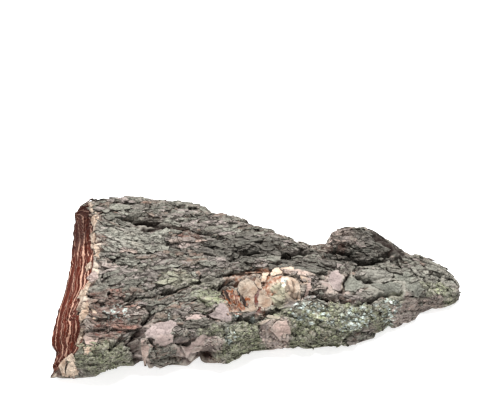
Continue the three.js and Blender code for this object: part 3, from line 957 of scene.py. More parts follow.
# crevices and hollows: painted shade
sunk = mix(painted_light_wear_and_grain, maths(painted_light_wear_and_grain, "MINIMUM", shade, 1.0), grained, CREVICE_SHADE)
painted_light_wear_and_grain.links.new(sunk, put_out["Color"])
painted_light_wear_and_grain.links.new(grain, put_out["Height"])


def with_painted_light_wear_and_grain(tree, colour, hollow, ridge, depth):
    made = node(tree, "ShaderNodeGroup", node_tree=painted_light_wear_and_grain)
    for name, value in (("Color", colour), ("Hollow", hollow), ("Ridge", ridge), ("Depth of shade", depth)):
        wire(tree, value, made.inputs[name])
    return made.outputs


GREY_GREEN = linear(86, 84, 76)
DEEP_GREEN = linear(64, 67, 58)
PALE_GREY = linear(140, 140, 130)
LAVENDER = linear(147, 134, 131)
PINK_TAN = linear(176, 153, 142)
PINK_BROWN = linear(128, 96, 84)
CREAM = linear(184, 167, 150)
TAN = linear(136, 102, 78)
ORANGE = linear(128, 70, 38)
YELLOW_GREEN = linear(134, 134, 114)
MOSS_GREEN = linear(132, 138, 106)
MINT = linear(200, 214, 208)
RED_BROWN = linear(106, 62, 52)
SHADE_BROWN = linear(50, 38, 34)
DARK_AND_SHADOWED_GREY = linear(52, 52, 49)
CORK_RED = linear(102, 42, 27)
CORK_DEEP = linear(66, 24, 15)
CORK_SHADE = linear(30, 12, 8)
LAMELLA = linear(212, 168, 146)
BAST = linear(112, 76, 54)

BARK_GLOSS = 0.12
WIDE_SPOTS = 60  # per metre
FINE_SPOTS = 260
LICHEN_SPOTS = 330
STAIN_SPOTS = 150

bark, tree, shader = principled("furrowed bark", GREY_GREEN, roughness=0.92)
shader.inputs["Specular IOR Level"].default_value = BARK_GLOSS
wide = speckle(tree, WIDE_SPOTS, 4)
fine = speckle(tree, FINE_SPOTS, 3)
tone = mask(tree, "tone")


def spotted(low, high, least):
    """A share that changes from spot to spot, from the least one up to all."""
    return spread(tree, fine, low, high, least, 1.0)


# Weathered cork: grey and green, with lavender, pale and pinkish scales among the others
colour = mix(tree, spread(tree, wide, 0.4, 0.6), GREY_GREEN, DEEP_GREEN)
colour = mix(tree, spread(tree, tone, 0.62, 0.75, 0, 0.75), colour, LAVENDER)
colour = mix(tree, spread(tree, tone, 0.38, 0.25, 0, 0.6), colour, PALE_GREY)
from_half = maths(tree, "ABSOLUTE", maths(tree, "SUBTRACT", tone, 0.5))
colour = mix(tree, spread(tree, from_half, 0.08, 0.03, 0, 0.6), colour, PINK_BROWN)
stained = mix(tree, spread(tree, speckle(tree, STAIN_SPOTS, 4, 0.6), 0.42, 0.62, 0.0, 0.6), CREAM, TAN)

# The patches lie over it in this order
for name, over, share in (
        ("pale", PALE_GREY, 0.75),
        # partly painted shadow
        ("dark", DARK_AND_SHADOWED_GREY, 0.7),
        ("red", RED_BROWN, spotted(0.4, 0.6, 0.5)),
        ("green", MOSS_GREEN, spotted(0.35, 0.6, 0.3)),
        ("pink", mix(tree, tone, PINK_TAN, LAVENDER), spotted(0.3, 0.5, 0.5)),
        ("brown", SHADE_BROWN, None),
        ("cream", stained, None),
        ("flaky", YELLOW_GREEN, 0.8),
        ("orange", mix(tree, spread(tree, fine, 0.45, 0.7), ORANGE, CREAM), None),
        ("mint", MINT, spread(tree, speckle(tree, LICHEN_SPOTS, 2), 0.5, 0.57))):
    where = mask(tree, name)
    if share is not None:
        where = maths(tree, "MULTIPLY", where, share)
    colour = mix(tree, where, colour, over)

# The torn end: pale sheets of harder cells between red-brown cork, all along the slab's thickness
fibre = speckle(tree, 160, 4, 0.6, (6, 0.5, 6))
sheets = maths(tree, "ADD", mask(tree, "layer"), spread(tree, fibre, 0.3, 0.7, -0.06, 0.06))
from_middle = maths(tree, "ABSOLUTE", maths(tree, "SUBTRACT", maths(tree, "FRACT", sheets), 0.5))
which_sheet = node(tree, "ShaderNodeTexWhiteNoise", noise_dimensions="1D")
tree.links.new(maths(tree, "FLOOR", sheets), which_sheet.inputs["W"])
boldness = which_sheet.outputs["Value"]
half_width = spread(tree, boldness, 0.0, 1.0, 0.06, 0.14)
pale_line = spread(tree, from_middle, maths(tree, "MULTIPLY", half_width, 0.6), half_width, 1.0, 0.0)
pale_line = maths(tree, "MULTIPLY", pale_line, spread(tree, speckle(tree, 45, 2), 0.36, 0.46, 0.4, 1.0))


def line_at(place, inner, outer, strength):
    """A soft line at a distance from the middle of a pale sheet."""
    away = maths(tree, "ABSOLUTE", maths(tree, "SUBTRACT", from_middle, place))
    return spread(tree, away, inner, outer, strength, 0.0)


second_line = maths(tree, "MULTIPLY", line_at(0.33, 0.02, 0.05, 0.35), boldness)
pale_line = maths(tree, "MAXIMUM", pale_line, second_line)
dark_line = line_at(0.22, 0.02, 0.07, 1.0)
cork = mix(tree, spread(tree, fibre, 0.38, 0.62), CORK_DEEP, CORK_RED)
cork = mix(tree, maths(tree, "MULTIPLY", dark_line, 0.35), cork, CORK_SHADE)
cork = mix(tree, pale_line, cork, LAMELLA)
# painted shade, where the torn end is darker
cork = mix(tree, maths(tree, "MULTIPLY", mask(tree, "dark"), 0.65), cork, CORK_SHADE)
cork = mix(tree, mask(tree, "rim"), cork, CREAM)
colour = mix(tree, mask(tree, "torn"), colour, cork)

# The inner face: smooth bast with long fibres
bast = mix(tree, spread(tree, speckle(tree, 90, 4, 0.6, (0.6, 9, 1)), 0.35, 0.65), BAST, CORK_RED)
colour = mix(tree, mask(tree, "under"), colour, bast)

BUMP_DEPTH = 0.0008
broad = crazed(tree, 210, 1.9, 1.1, 0.07)
small = crazed(tree, 420, 1.5, 1.3, 0.09)
outer = maths(tree, "SUBTRACT", 1.0, maths(tree, "MAXIMUM", mask(tree, "torn"), mask(tree, "under")))
uneven = maths(tree, "SUBTRACT", 1.0, maths(tree, "MULTIPLY", mask(tree, "smooth"), 0.8))
rough = maths(tree, "MULTIPLY", outer, uneven)
lines = maths(tree, "MAXIMUM", broad["Line"], maths(tree, "MULTIPLY", small["Line"], 0.6))
lines = maths(tree, "MULTIPLY", lines, rough)
lines = maths(tree, "MULTIPLY", lines, spread(tree, speckle(tree, 130, 2), 0.35, 0.55, 0.25, 0.95))
lightness = spread(tree, broad["Tone"], 0.0, 1.0, 0.85, 1.15)
lightness = maths(tree, "MULTIPLY", lightness, mask(tree, "lightness"))
# darker where painted shadow lies
lightness = maths(tree, "MULTIPLY", lightness, spread(tree, mask(tree, "dark"), 0.0, 1.0, 1.0, 0.6))
colour = mix(tree, outer, colour, mix(tree, 1.0, colour, lightness, "MULTIPLY"))
# Painted shade in the hollows and along the cracks, and painted highlights on the ridges, over the colours
hollow = maths(tree, "MAXIMUM", mask(tree, "hollow"), lines)
finish = with_painted_light_wear_and_grain(tree, colour, hollow, mask(tree, "ridge"), 1.0)
tree.links.new(finish["Color"], shader.inputs["Base Color"])
relief = maths(tree, "ADD", broad["Height"], maths(tree, "MULTIPLY", small["Height"], 0.5))
relief = maths(tree, "MULTIPLY", relief, rough)
relief = maths(tree, "ADD", relief, maths(tree, "MULTIPLY", finish["Height"], 0.5))
bump = node(tree, "ShaderNodeBump")
bump.inputs["Strength"].default_value = 1.0
bump.inputs["Distance"].default_value = BUMP_DEPTH
tree.links.new(relief, bump.inputs["Height"])
tree.links.new(bump.outputs["Normal"], shader.inputs["Normal"])
slab_mesh.materials.append(bark)
slab_mesh.shade_smooth()
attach(slab, "root")
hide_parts("bark_slab")


# Bare plates: where the outermost scales have come away, smooth younger cork shows in plates with crisp
# broken rims, cream or pink where the break is fresh and grey where it has weathered. They belong to the
# slab's own cork, which shows torn fibres beside them and a round plate worn away in rings.

PLATES = [  # finish, height over the slab's smoothed face, outline in plan
    ("cream", 1.3, [(-9, 1), (-4, 4), (1, 2), (4, -4), (2, -9), (1, -14), (4, -20), (-1, -24),
                    (-6, -24), (-8, -15), (-10, -6)]),
    ("cream", 1.0, [(5, -6), (10, -4), (14, -10), (13, -18), (8, -20), (4, -17), (4, -11)]),
    ("cream", 1.6, [(2, 1), (3, 5), (6, 3), (8, -3), (5, -4)]),
    ("cream", 1.3, [(6, 3), (8, 9), (12, 8), (10, 2)]),
    ("cream", 1.2, [(13, 6), (14, 11), (19, 12), (21, 9), (16, 6)]),
    ("orange", 0.9, [(9, -1), (12, 5), (15, 6), (13, 0)]),
    ("orange", 1.0, [(-12, -2), (-10, -7), (-8, -16), (-6, -24), (-10, -22), (-14, -12)]),
    ("orange", 0.7, [(-20, -5), (-13, -3), (-15, -14), (-18, -12)]),
    ("pink", 0.6, [(-31, -25), (-26, -22), (-22, -16), (-18, -20), (-14, -30), (-18, -32), (-24, -29)]),
    ("pink", 0.8, [(-46, -30), (-40, -27), (-32, -25), (-34, -30), (-41, -32)]),
    ("pale", 0.7, [(-20, -34), (-16, -32), (-13, -38), (-17, -41)]),
    ("pink", 0.7, [(-74, -40), (-69, -34), (-57, -31), (-51, -35), (-55, -38), (-57, -42),
                   (-64, -43), (-74, -44)]),
    ("pink", 0.8, [(-75, -44), (-69, -46), (-71, -48), (-75, -50), (-77, -48)]),
    ("pink", 0.9, [(-50, -45), (-40, -42), (-26, -40), (-24, -42), (-36, -44), (-47, -47)]),
    ("pink", 0.9, [(12, -34), (18, -29), (24, -29), (27, -34), (20, -36)]),
    ("pale", 1.0, [(-37, 3), (-31, 6), (-24, 5), (-21, 2), (-27, 0), (-34, 1)]),
    ("pink", 0.6, [(54, 3), (57, 11), (62, 12), (64, 5), (63, -4), (57, -5)]),
    ("pale", 1.1, [(66, 3), (70, 6), (77, 4), (79, -1), (73, -6), (67, -5)]),
    ("pale", 0.9, [(80, 9), (92, 13), (101, 9), (98, 3), (88, 2)]),
    ("pale", 0.9, [(102, 10), (112, 14), (119, 9), (112, 3), (103, 4)]),
    ("pale", 0.8, [(84, 0), (97, 1), (107, 0), (104, -5), (93, -5)]),
    ("pale", 0.8, [(109, 1), (118, 4), (124, 1), (118, -4), (110, -4)]),
    ("pink", 0.8, [(-117, -41), (-111, -38), (-106, -42), (-109, -48), (-115, -47)]),
    ("cream", 0.8, [(-117, -50), (-111, -49), (-110, -52), (-116, -53)]),
    ("cream", 0.9, [(-135, -53), (-130, -51), (-128, -55), (-134, -59)]),
    ("cream", 0.7, [(-130, -51), (-125, -51), (-123, -56), (-128, -56)]),
    ("cream", 0.5, [(-133, -58), (-125, -56), (-121, -58), (-126, -60), (-133, -60)]),
    ("cream", 0.8, [(-119, 58), (-115, 62), (-112, 56), (-113, 46), (-117, 50)]),
    ("cream", 0.9, [(-117, 40), (-113, 38), (-113, 30), (-116, 33)]),
    ("cream", 1.0, [(-113, 28), (-109, 27), (-109, 20), (-113, 19)]),
    ("cream", 1.0, [(-119, 15), (-115, 15), (-114, 10), (-118, 10)]),
    ("pink", 0.9, [(-117, 3), (-111, 6), (-108, 1), (-114, -3)]),
    ("cream", 0.9, [(-117, -4), (-114, -3), (-116, -14), (-119, -13)]),
    ("cream", 1.0, [(-121, -8), (-118, -8), (-117, -14), (-121, -13)]),
    ("cream", 1.2, [(-118, -19), (-113, -18), (-114, -28), (-118, -34), (-120, -30)]),
    ("cream", 0.9, [(-112, -22), (-108, -21), (-108, -30), (-111, -32)]),
    ("cream", 0.9, [(-119, -36), (-117, -35), (-120, -46), (-123, -45)]),
    ("cream", 1.2, [(16, 8), (22, 12), (30, 12), (34, 9), (28, 8), (22, 7)]),
    ("cream", 1.0, [(33, 7), (38, 5), (40, -1), (37, -2), (35, 2)]),
    ("pink", 0.9, [(37, 6), (41, 3), (42, -3), (39, -9), (35, -13), (38, -7), (39, -1)]),
    ("cream", 0.9, [(18, 14), (25, 16), (29, 15), (24, 13)]),
    ("red", 0.4, [(0, -1), (7, -2), (8, -12), (7, -22), (2, -25), (0, -14)]),
    ("pink", 0.8, [(-69, -44), (-62, -42), (-54, -42), (-56, -45), (-63, -46), (-68, -46)]),
]
TORN_FIBRES = 11
FIBRE_RUN = (8, -18)  # along a torn fibre, from its upper end to its lower one
FIBRE_FINISHES = ("orange", "brown", "orange", "red", "orange", "red")
for fibre in range(TORN_FIBRES):
    at_x = -22 + 1.5 * fibre + chance(fibre, 1, 117)
    at_y = -3 - 5 * chance(fibre, 2, 117)
    run = 0.6 + 0.4 * chance(fibre, 3, 117)
    width = 0.9 + 0.5 * chance(fibre, 4, 117)
    upper, high, low, lower = (
        (at_x + FIBRE_RUN[0] * run * share, at_y + FIBRE_RUN[1] * run * share) for share in (0, 0.3, 0.7, 1))
    outline = [upper, (high[0] + width, high[1]), (low[0] + width, low[1]), lower,
               (low[0] - width, low[1]), (high[0] - width, high[1])]
    finish = FIBRE_FINISHES[fibre % len(FIBRE_FINISHES)]
    PLATES.append((finish, 1.1 + 1.0 * chance(fibre, 5, 117), outline))

DISC_MIDDLE = (22, -6)
DISC_RADII = (14, 13)
DISC_TERRACES = 5
for terrace in range(DISC_TERRACES):  # a round plate that has worn away in rings
    size = 1 - terrace / DISC_TERRACES
    turns = np.arange(12) * math.pi / 6
    wander = 1 + 0.2 * noise(turns * 1.3, 0 * turns + 0.6 * terrace, 116)
    at_x = DISC_MIDDLE[0] + DISC_RADII[0] * size * wander * np.cos(turns) - 1.2 * terrace
    at_y = DISC_MIDDLE[1] + DISC_RADII[1] * size * wander * np.sin(turns) + 0.9 * terrace
    PLATES.append((None, 0.6 + 0.45 * terrace, list(zip(at_x, at_y))))
PLATE_SIDES = 44
PLATE_RINGS = (  # size, height over the rim's, painted shade, and wear with a painted highlight
    (1.02, -2.4, 1, 0), (1, -0.2, 0.15, 0.7), (0.93, 0, 0, 0.2), (0.75, 0.05, 0, 0), (0.5, 0.1, 0, 0),
    (0.25, 0.1, 0, 0),
)


def terrace_rings(terrace):
    """The rings of one terrace of the round plate, shaded where the next one rises."""
    left = DISC_TERRACES - terrace
    inner = max(left - 1, 0.3) / left
    return (
        (1.04, -2.4, 0.8, 0), (1, -0.2, 0.1, 0.7), (0.95, 0, 0, 0.3), (inner + 0.09, 0.05, 0, 0),
        (inner + 0.03, 0.1, 0.55, 0), (inner - 0.05, 0.1, 0.6, 0),
    )


settled = BVHTree.FromPolygons(smoothed(vertices, 12).tolist(), faces)


def settled_place(x, y, rise):
    """A place so many millimetres over the slab's smoothed face, in metres, from its place in the outline."""
    above = Vector(((x + PLAN_SHIFT[0]) * MILLIMETRE, (y + PLAN_SHIFT[1]) * MILLIMETRE, 1))
    hit, outwards = settled.ray_cast(above, Vector((0, 0, -1)))[:2]
    if hit is None:
        return (above.x, above.y, 0)
    return tuple(hit + outwards * (rise * MILLIMETRE))


def enclosed(outline, x, y):
    """Which places an outline encloses."""
    within = np.zeros(x.shape, bool)
    for (x0, y0), (x1, y1) in zip(outline, [*outline[1:], outline[0]]):
        crosses = (y0 > y) != (y1 > y)
        within ^= crosses & (x < x0 + (y - y0) * (x1 - x0) / np.where(y1 == y0, 1e-9, y1 - y0))
    return within


PLATE_BED = 1.8  # millimetres that the slab lies lower under the plates
under_plate = np.any([enclosed(outline, skin["plan_x"], skin["plan_y"]) for _, _, outline in PLATES], axis=0)
under_plate &= skin["part"] != UNDER
bedded = inside_box(vertices - normals * (PLATE_BED * MILLIMETRE * under_plate)[:, None])
slab_mesh.vertices.foreach_set("co", bedded.astype(np.float32).ravel())
slab_mesh.update()


CORNER_ROUNDING = 0.2
CHIP_SIZE = 1.7
CHIP_DEPTH = 0.8


def rounded_outline(points):
    """A closed line through the points, with slightly rounded corners and small chips."""
    points = np.array(points, float)
    count = len(points)
    at = np.arange(PLATE_SIDES) * count / PLATE_SIDES
    index = at.astype(int)
    share = (at - index)[:, None]
    before, here, after, beyond = (points[(index + k) % count] for k in (-1, 0, 1, 2))
    bend = 2 * before - 5 * here + 4 * after - beyond
    twist = 3 * here - before - 3 * after + beyond
    curve = 0.5 * (2 * here + (after - before) * share + bend * share ** 2 + twist * share ** 3)
    straight = here + (after - here) * share
    places = curve[:, 0] / CHIP_SIZE, curve[:, 1] / CHIP_SIZE
    chips = np.stack([noise(*places, seed) for seed in (111, 112)], axis=1)
    return CORNER_ROUNDING * curve + (1 - CORNER_ROUNDING) * straight + CHIP_DEPTH * chips


TORN_END_RIM_X = -105  # plates to the left of this lie along the rim of the torn end, which is pale
RIM_CORNER_X = -120


def plate_lightness(finish, middle, drawn):
    """How light a plate is: most at the torn end and on the round plate, least on the broad cream plates."""
    lightness = 0.78 + 0.25 * drawn
    if middle[0] < TORN_END_RIM_X or finish is None or (finish == "cream" and middle[1] > 2):
        return lightness + (0.45 if middle[0] < RIM_CORNER_X else 0.34)
    return lightness + {"pink": 0.22, "cream": -0.16}.get(finish, 0)


plate_rows = {name: [] for name in ("place", "hollow", "ridge", "tone", "lightness", *PATCHES)}
plate_faces = []
for number, (finish, rise, outline) in enumerate(PLATES):
    rim = rounded_outline(outline)
    middle = rim.mean(axis=0)
    first = sum(len(block) for block in plate_rows["place"])
    chipped = 0.3 * noise(rim[:, 0] / 2.5, rim[:, 1] / 2.5, 113)
    rings = []
    made_of = PLATE_RINGS if finish else terrace_rings(DISC_TERRACES - len(PLATES) + number)
    for size, over, _, _ in made_of:
        ring = middle + (rim - middle) * size
        swell = rise + over + 0.3 * noise(ring[:, 0] / 5, ring[:, 1] / 4, 114) + chipped * (size > 0.9)
        rings.append(np.column_stack([ring, swell]))
    places = np.concatenate([*rings, [[*middle, rise + 0.1], [*middle, rise - 2.4]]])
    plate_rows["place"].append(np.array([settled_place(*place) for place in places]))
    counts = [PLATE_SIDES] * len(PLATE_RINGS) + [1, 1]
    # painted shade under each plate's rim, lighter under the cream ones
    shade = [ring[2] for ring in made_of]
    if finish == "cream":
        shade[0] = 0.4
    plate_rows["hollow"].append(np.repeat([*shade, 0, 1], counts))
    plate_rows["ridge"].append(np.repeat([*(ring[3] for ring in made_of), 0, 0], counts))
    lightness = plate_lightness(finish, middle, chance(number, 4, 115))
    plate_rows["lightness"].append(np.full(len(places), lightness))
    plate_rows["tone"].append(np.full(len(places), chance(number, 3, 115)))
    for name in PATCHES:
        by_place = patch(name, places[:, 0], places[:, 1])
        if name == "orange" and finish == "cream":  # the freshest cork shows below the rim
            by_place = np.repeat([1, 0.2, 0, 0, 0, 0, 0, 1], counts)
        elif name == "smooth":
            by_place = np.full(len(places), 0.4 if finish == "pale" or middle[0] < TORN_END_RIM_X else 0.8)
        elif finish is not None:
            by_place = np.full(len(places), float(name == finish))
        plate_rows[name].append(by_place)
    top, root = first + len(places) - 2, first + len(places) - 1
    for i in range(PLATE_SIDES):
        j = (i + 1) % PLATE_SIDES
        for ring in range(len(PLATE_RINGS) - 1):
            low, high = first + ring * PLATE_SIDES, first + (ring + 1) * PLATE_SIDES
            plate_faces.append((low + i, low + j, high + j, high + i))
        plate_faces.append((top - PLATE_SIDES + i, top - PLATE_SIDES + j, top))
        plate_faces.append((first + j, first + i, root))
plate_rows = {name: np.concatenate(blocks) for name, blocks in plate_rows.items()}
plate_mesh = bpy.data.meshes.new("bare_plates")
plate_mesh.from_pydata(inside_box(plate_rows.pop("place")).tolist(), [], plate_faces)
for name, values in plate_rows.items():
    store(plate_mesh, name, values)
plate_mesh.materials.append(bark)
plates_object = added("bare_plates", plate_mesh)
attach(plates_object, "root")


# The loose scales: the dead outer layers of the cork, which dry, curl and lift at their edges. Each is a
# thin ragged plate of the slab's own cork, lying along the grain, its root sunk into the scales below it.
# Where lichen covers the slab, its granules stand among them.

SCALE_SHAPES = 8  # different outlines of each kind
NOTCH_X = 50  # the notch in the back edge, where no scale reaches past the rim
NOTCH_REACH = 14
NOTCH_MARGIN = 2
LOW_CORNER = (-116, -49)  # the front and the back corner of the torn end are bare
BACK_CORNER = (-124, 70)
FOOT_CLEARANCE = 0.003  # metres from the ground to the lowest scales
DEEPEST_BED = 3
SWIRL_TURN = 36  # degrees that the scales turn where the grain swirls
SWIRL_HEART = (-47, -14)
SWIRL_REACH = (26, 17)
KNOB_MIDDLE = (74, 47)
KNOB_REACH = (24, 11)
LEAST_ROOM = 0.42

# The bed that they are strewn on: the slab, with how scaly each place is, how it lies and how its grain runs
bed_x, bed_y = skin["plan_x"], skin["plan_y"]
in_furrow = smooth((furrow_depth(bed_x, bed_y, 0.8) - 3) / 1.5)
low_corner = (bed_x < LOW_CORNER[0]) & (bed_y < LOW_CORNER[1])
back_corner = (bed_x < BACK_CORNER[0]) & (bed_y > BACK_CORNER[1])
open_bark = outside * (vertices[:, 2] > FOOT_CLEARANCE) * (1 - in_furrow) * (np.abs(wide_sink) < DEEPEST_BED)
open_bark *= smooth((from_torn_end - strip * 6 - 3) / 3) * ~(under_plate | low_corner | back_corner)
inwards = np.minimum(bed_y - along(FRONT_EDGE, bed_x), along(BACK_EDGE, bed_x) - bed_y)
at_notch = (bed_y > 0) & (np.abs(bed_x - NOTCH_X) < NOTCH_REACH)
open_bark *= (inwards > NOTCH_MARGIN) | ~at_notch
bareness = {"smooth": 1, "cream": 1, "orange": 0.8, "flaky": 0.5, "green": 0.5}
bare = np.maximum.reduce([share * masks[name] for name, share in bareness.items()])


def around(middle, reach):
    """How near each place of the bed is to another place, from 0 to 1."""
    away_x, away_y = (bed_x - middle[0]) / reach[0], (bed_y - middle[1]) / reach[1]
    return np.exp(-(away_x ** 2) - (away_y ** 2))


grain_angle = np.radians(SWIRL_TURN) * around(SWIRL_HEART, SWIRL_REACH)
grain_angle += 0.3 * noise(bed_x / 30, bed_y / 22, 61)
scale_bed = slab_mesh.copy()
lie = vertex_normals(wide_smooth, np.array(faces))
room = 1 - 0.5 * np.clip(furrow_depth(bed_x, bed_y, 2.2) / 4, 0, 1)  # how large the scales are, in furrows,
room *= 0.45 + 0.55 * smooth((from_torn_end - 4) / 12)  # beside the torn end,
room *= 0.5 + 0.5 * smooth((lie[:, 2] - 0.45) / 0.4)  # on the flanks,
room *= 0.4 + 0.6 * smooth((inwards - 3) / 14)  # near the edges,
room *= 0.5 + 0.5 * smooth((HALF_LENGTH - bed_x - 3) / 20)  # at the tip
room *= 1 - 0.4 * around(KNOB_MIDDLE, KNOB_REACH)  # and on the knob
room = np.maximum(room, LEAST_ROOM)
for name, values in (
        ("scaly", open_bark * (1 - bare)), ("crusty", open_bark * np.maximum(masks["green"], masks["mint"])),
        ("room", room), ("even", 0.7 + 0.3 * room)):
    store(scale_bed, name, values)
grain_way = np.stack([np.cos(grain_angle), np.sin(grain_angle), 0 * bed_x], axis=1)
store(scale_bed, "grain", grain_way, "FLOAT_VECTOR")
store(scale_bed, "lie", lie, "FLOAT_VECTOR")
# The bed is painted darker under the scales and in the furrows: painted shade
covered = np.clip((room - 0.3) / 0.5, 0.25, 1)  # small scales leave more of the bed in sight
shaded_bed = 0.85 * open_bark * (1 - bare) * covered
shaded = np.maximum.reduce([masks["hollow"], shaded_bed, 0.6 * in_furrow * outside])
slab_mesh.attributes["hollow"].data.foreach_set("value", shaded.astype(np.float32))


def ragged_scale(collection, sides, random):
    """A plate one unit to each side, flat below, with a broken rim and a curled, hollow or domed top."""
    angles = (np.arange(sides) + random.uniform(-0.35, 0.35, sides)) * 2 * math.pi / sides
    square = (np.abs(np.cos(angles)) ** 3 + np.abs(np.sin(angles)) ** 3) ** (-1 / 3)
    reach = random.uniform(0.72, 1.08, sides) * square
    ring = np.stack([np.cos(angles), np.sin(angles)], axis=1) * reach[:, None]
    curl = random.uniform(-0.7, 0.5) * ring[:, 0] ** 2 + random.uniform(-1.0, 0.1) * ring[:, 1] ** 2
    jitter = random.uniform(-0.2, 0.2, (2, sides))
    shape_vertices = np.concatenate([
        np.column_stack([ring * 1.02, np.full(sides, -1.2)]),
        np.column_stack([ring, 0.5 + curl + jitter[0]]),
        np.column_stack([ring * 0.6, 0.5 + 0.36 * curl + jitter[1]]),
        [[0, 0, 0.5], [0, 0, -1.2]],
    ])
    shape_faces = []
    for i in range(sides):
        j = (i + 1) % sides
        shape_faces += [(i, j, sides + j, sides + i), (sides + i, sides + j, 2 * sides + j, 2 * sides + i)]
        shape_faces += [(2 * sides + i, 2 * sides + j, 3 * sides), (j, i, 3 * sides + 1)]
    mesh = bpy.data.meshes.new("scale shape")
    mesh.from_pydata(shape_vertices.tolist(), [], shape_faces)
    mesh.materials.append(bark)
    # Painted shade darkens each scale's sides towards its sunk root; its rim is lighter, by wear and by a
    # painted highlight
    for name, at_bottom, at_rim, at_inner in (("hollow", 1.0, 0.25, 0.0), ("ridge", 0.0, 0.55, 0.4)):
        values = [at_bottom, at_rim, at_inner, 0, at_bottom]
        store(mesh, name, np.repeat(values, [sides] * 3 + [1, 1]))
    collection.objects.link(bpy.data.objects.new("scale shape", mesh))


def scale_shapes(sides, seed):
    """A collection of such plates, for the tree to choose from."""
    random = np.random.default_rng(seed)
    collection = bpy.data.collections.new("scale shapes")
    bpy.context.scene.collection.children.link(collection)
    for _ in range(SCALE_SHAPES):
        ragged_scale(collection, sides, random)
    return collection


scatter = bpy.data.node_groups.new("scales along the grain", "GeometryNodeTree")
scatter.is_modifier = True
for name, kind in (
        ("Geometry", "Geometry"), ("Shapes", "Collection"), ("Where", "String"), ("Spacing", "Float"),
        ("Seed", "Int"), ("Smallest", "Vector"), ("Largest", "Vector"), ("Most tilt", "Vector"),
        ("Raggedness", "Float"), ("Rag size", "Float"), ("Room", "String"), ("Finish", "Material")):
    scatter.interface.new_socket(name, in_out="INPUT", socket_type=f"NodeSocket{kind}")
scatter.interface.new_socket("Geometry", in_out="OUTPUT", socket_type="NodeSocketGeometry")
inputs = scatter.nodes.new("NodeGroupInput").outputs


def step(kind, links, **settings):
    """A node of the tree, with its sockets linked, or set, by name."""
    made = node(scatter, kind, **settings)
    for name, value in links.items():
        if isinstance(value, bpy.types.NodeSocket):
            scatter.links.new(value, made.inputs[name])
        else:
            made.inputs[name].default_value = value
    return made.outputs


def stored(name, kind="FLOAT"):
    """An attribute of the bed."""
    return step("GeometryNodeInputNamedAttribute", {"Name": name}, data_type=kind)["Attribute"]


points = step("GeometryNodeDistributePointsOnFaces", {
    "Mesh": inputs["Geometry"], "Distance Min": inputs["Spacing"], "Density Max": 1e6,
    "Density Factor": stored(inputs["Where"]), "Seed": inputs["Seed"],
}, distribute_method="POISSON")["Points"]
for name in ("hollow", "ridge"):
    points = step("GeometryNodeRemoveAttribute", {"Geometry": points, "Name": name})["Geometry"]
DARKEST_SCALE = 0.54
LIGHTEST_SCALE = 1.5
FLOAT_MIN, FLOAT_MAX, FLOAT_VALUE = 2, 3, 1  # sockets of a random value, of which several share a name
any_tone = step("FunctionNodeRandomValue", {"Seed": 9}, data_type="FLOAT")[FLOAT_VALUE]
lightness_range = {FLOAT_MIN: DARKEST_SCALE, FLOAT_MAX: LIGHTEST_SCALE, "Seed": 11}
any_lightness = step("FunctionNodeRandomValue", lightness_range, data_type="FLOAT")[FLOAT_VALUE]
for name, value in (("tone", any_tone), ("lightness", any_lightness)):
    given_value = {"Geometry": points, "Name": name, "Value": value}
    points = step("GeometryNodeStoreNamedAttribute", given_value)["Geometry"]

# Each scale stands on the bed with its length along the grain, then tilts a little at random
turned = step("FunctionNodeAlignRotationToVector", {"Vector": stored("lie", "FLOAT_VECTOR")}, axis="Z")
lengthwise = {"Rotation": turned["Rotation"], "Vector": stored("grain", "FLOAT_VECTOR")}
turned = step("FunctionNodeAlignRotationToVector", lengthwise, axis="X", pivot_axis="Z")["Rotation"]
opposite = {"Vector": inputs["Most tilt"], "Scale": -1.0}
least_tilt = step("ShaderNodeVectorMath", opposite, operation="SCALE")[0]
any_tilt = {"Min": least_tilt, "Max": inputs["Most tilt"], "Seed": 3}
tilt = step("FunctionNodeRandomValue", any_tilt, data_type="FLOAT_VECTOR")["Value"]
tilt = step("FunctionNodeEulerToRotation", {"Euler": tilt})["Rotation"]
tilted = {"Rotation": turned, "Rotate By": tilt}
turned = step("FunctionNodeRotateRotation", tilted, rotation_space="LOCAL")["Rotation"]
size = step("FunctionNodeRandomValue", {
    "Min": inputs["Smallest"], "Max": inputs["Largest"], "Seed": 5,
}, data_type="FLOAT_VECTOR")["Value"]
size = step("ShaderNodeVectorMath", {"Vector": size, "Scale": stored(inputs["Room"])}, operation="SCALE")[0]
pool = step("GeometryNodeCollectionInfo", {"Collection": inputs["Shapes"], "Separate Children": True})
placed = step("GeometryNodeInstanceOnPoints", {
    "Points": points, "Instance": pool["Instances"], "Pick Instance": True, "Rotation": turned, "Scale": size,
})["Instances"]
real = step("GeometryNodeRealizeInstances", {"Geometry": placed})["Geometry"]
rags_per_metre = step("ShaderNodeMath", {0: 1.0, 1: inputs["Rag size"]}, operation="DIVIDE")[0]
here = step("GeometryNodeInputPosition", {})["Position"]
rag = step("ShaderNodeTexNoise", {"Vector": here, "Scale": rags_per_metre, "Detail": 1.5})["Color"]
rag = step("ShaderNodeVectorMath", {0: rag, 1: (0.5, 0.5, 0.5)}, operation="SUBTRACT")[0]
rag = step("ShaderNodeVectorMath", {"Vector": rag, "Scale": inputs["Raggedness"]}, operation="SCALE")[0]
warped = step("GeometryNodeSetPosition", {"Geometry": real, "Offset": rag})["Geometry"]
coated = step("GeometryNodeSetMaterial", {"Geometry": warped, "Material": inputs["Finish"]})["Geometry"]
scatter.links.new(coated, scatter.nodes.new("NodeGroupOutput").inputs["Geometry"])


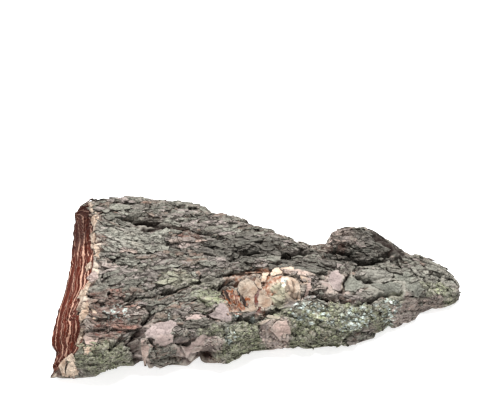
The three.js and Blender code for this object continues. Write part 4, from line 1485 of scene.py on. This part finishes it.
def scattered(name, **settings):
    """Runs the tree on a copy of the slab, and leaves a plain mesh that rides with it."""
    holder = added(name, scale_bed.copy())
    modifier = holder.modifiers.new("scatter", "NODES")
    modifier.node_group = scatter
    sockets = {item.name: item.identifier for item in scatter.interface.items_tree if item.in_out == "INPUT"}
    for setting, value in {"Room": "room", **settings, "Finish": bark}.items():
        modifier[sockets[setting.replace("_", " ")]] = value
    depsgraph = bpy.context.evaluated_depsgraph_get()
    evaluated = holder.evaluated_get(depsgraph)
    mesh = bpy.data.meshes.new_from_object(evaluated, preserve_all_data_layers=True, depsgraph=depsgraph)
    holder.modifiers.clear()
    holder.data = mesh
    places = np.empty(len(mesh.vertices) * 3, dtype=np.float32)
    mesh.vertices.foreach_get("co", places)
    mesh.vertices.foreach_set("co", inside_box(places.reshape(-1, 3)).astype(np.float32).ravel())
    mesh.update()
    for shape in list(settings["Shapes"].objects):
        bpy.data.objects.remove(shape)
    bpy.data.collections.remove(settings["Shapes"])
    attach(holder, "root")


def tilts(*degrees):
    """Angles as the tree needs them."""
    return tuple(math.radians(angle) for angle in degrees)


scattered(
    "broad_scales", Shapes=scale_shapes(16, 1), Where="scaly", Spacing=0.0065, Seed=4,
    Most_tilt=tilts(16, 4, 14), Smallest=(0.0065, 0.0017, 0.0008), Largest=(0.0145, 0.0033, 0.0017),
    Raggedness=0.006, Rag_size=0.009,
)
scattered(
    "long_scales", Shapes=scale_shapes(12, 2), Where="scaly", Spacing=0.0038, Seed=5,
    Most_tilt=tilts(16, 6, 20), Smallest=(0.0028, 0.0011, 0.0006), Largest=(0.0072, 0.0021, 0.0012),
    Raggedness=0.003, Rag_size=0.006,
)
scattered(
    "small_scales", Shapes=scale_shapes(8, 3), Where="scaly", Spacing=0.0034, Seed=6,
    Most_tilt=tilts(25, 12, 40), Smallest=(0.0011, 0.0006, 0.0005), Largest=(0.0026, 0.0013, 0.0011),
    Raggedness=0.002, Rag_size=0.004,
)
scattered(
    "lichen_granules", Shapes=scale_shapes(8, 8), Where="crusty", Room="even", Spacing=0.0021, Seed=7,
    Most_tilt=tilts(25, 25, 180), Smallest=(0.0007, 0.0006, 0.0006), Largest=(0.0023, 0.0018, 0.0017),
    Raggedness=0.0016, Rag_size=0.003,
)
bpy.data.meshes.remove(scale_bed)


import json
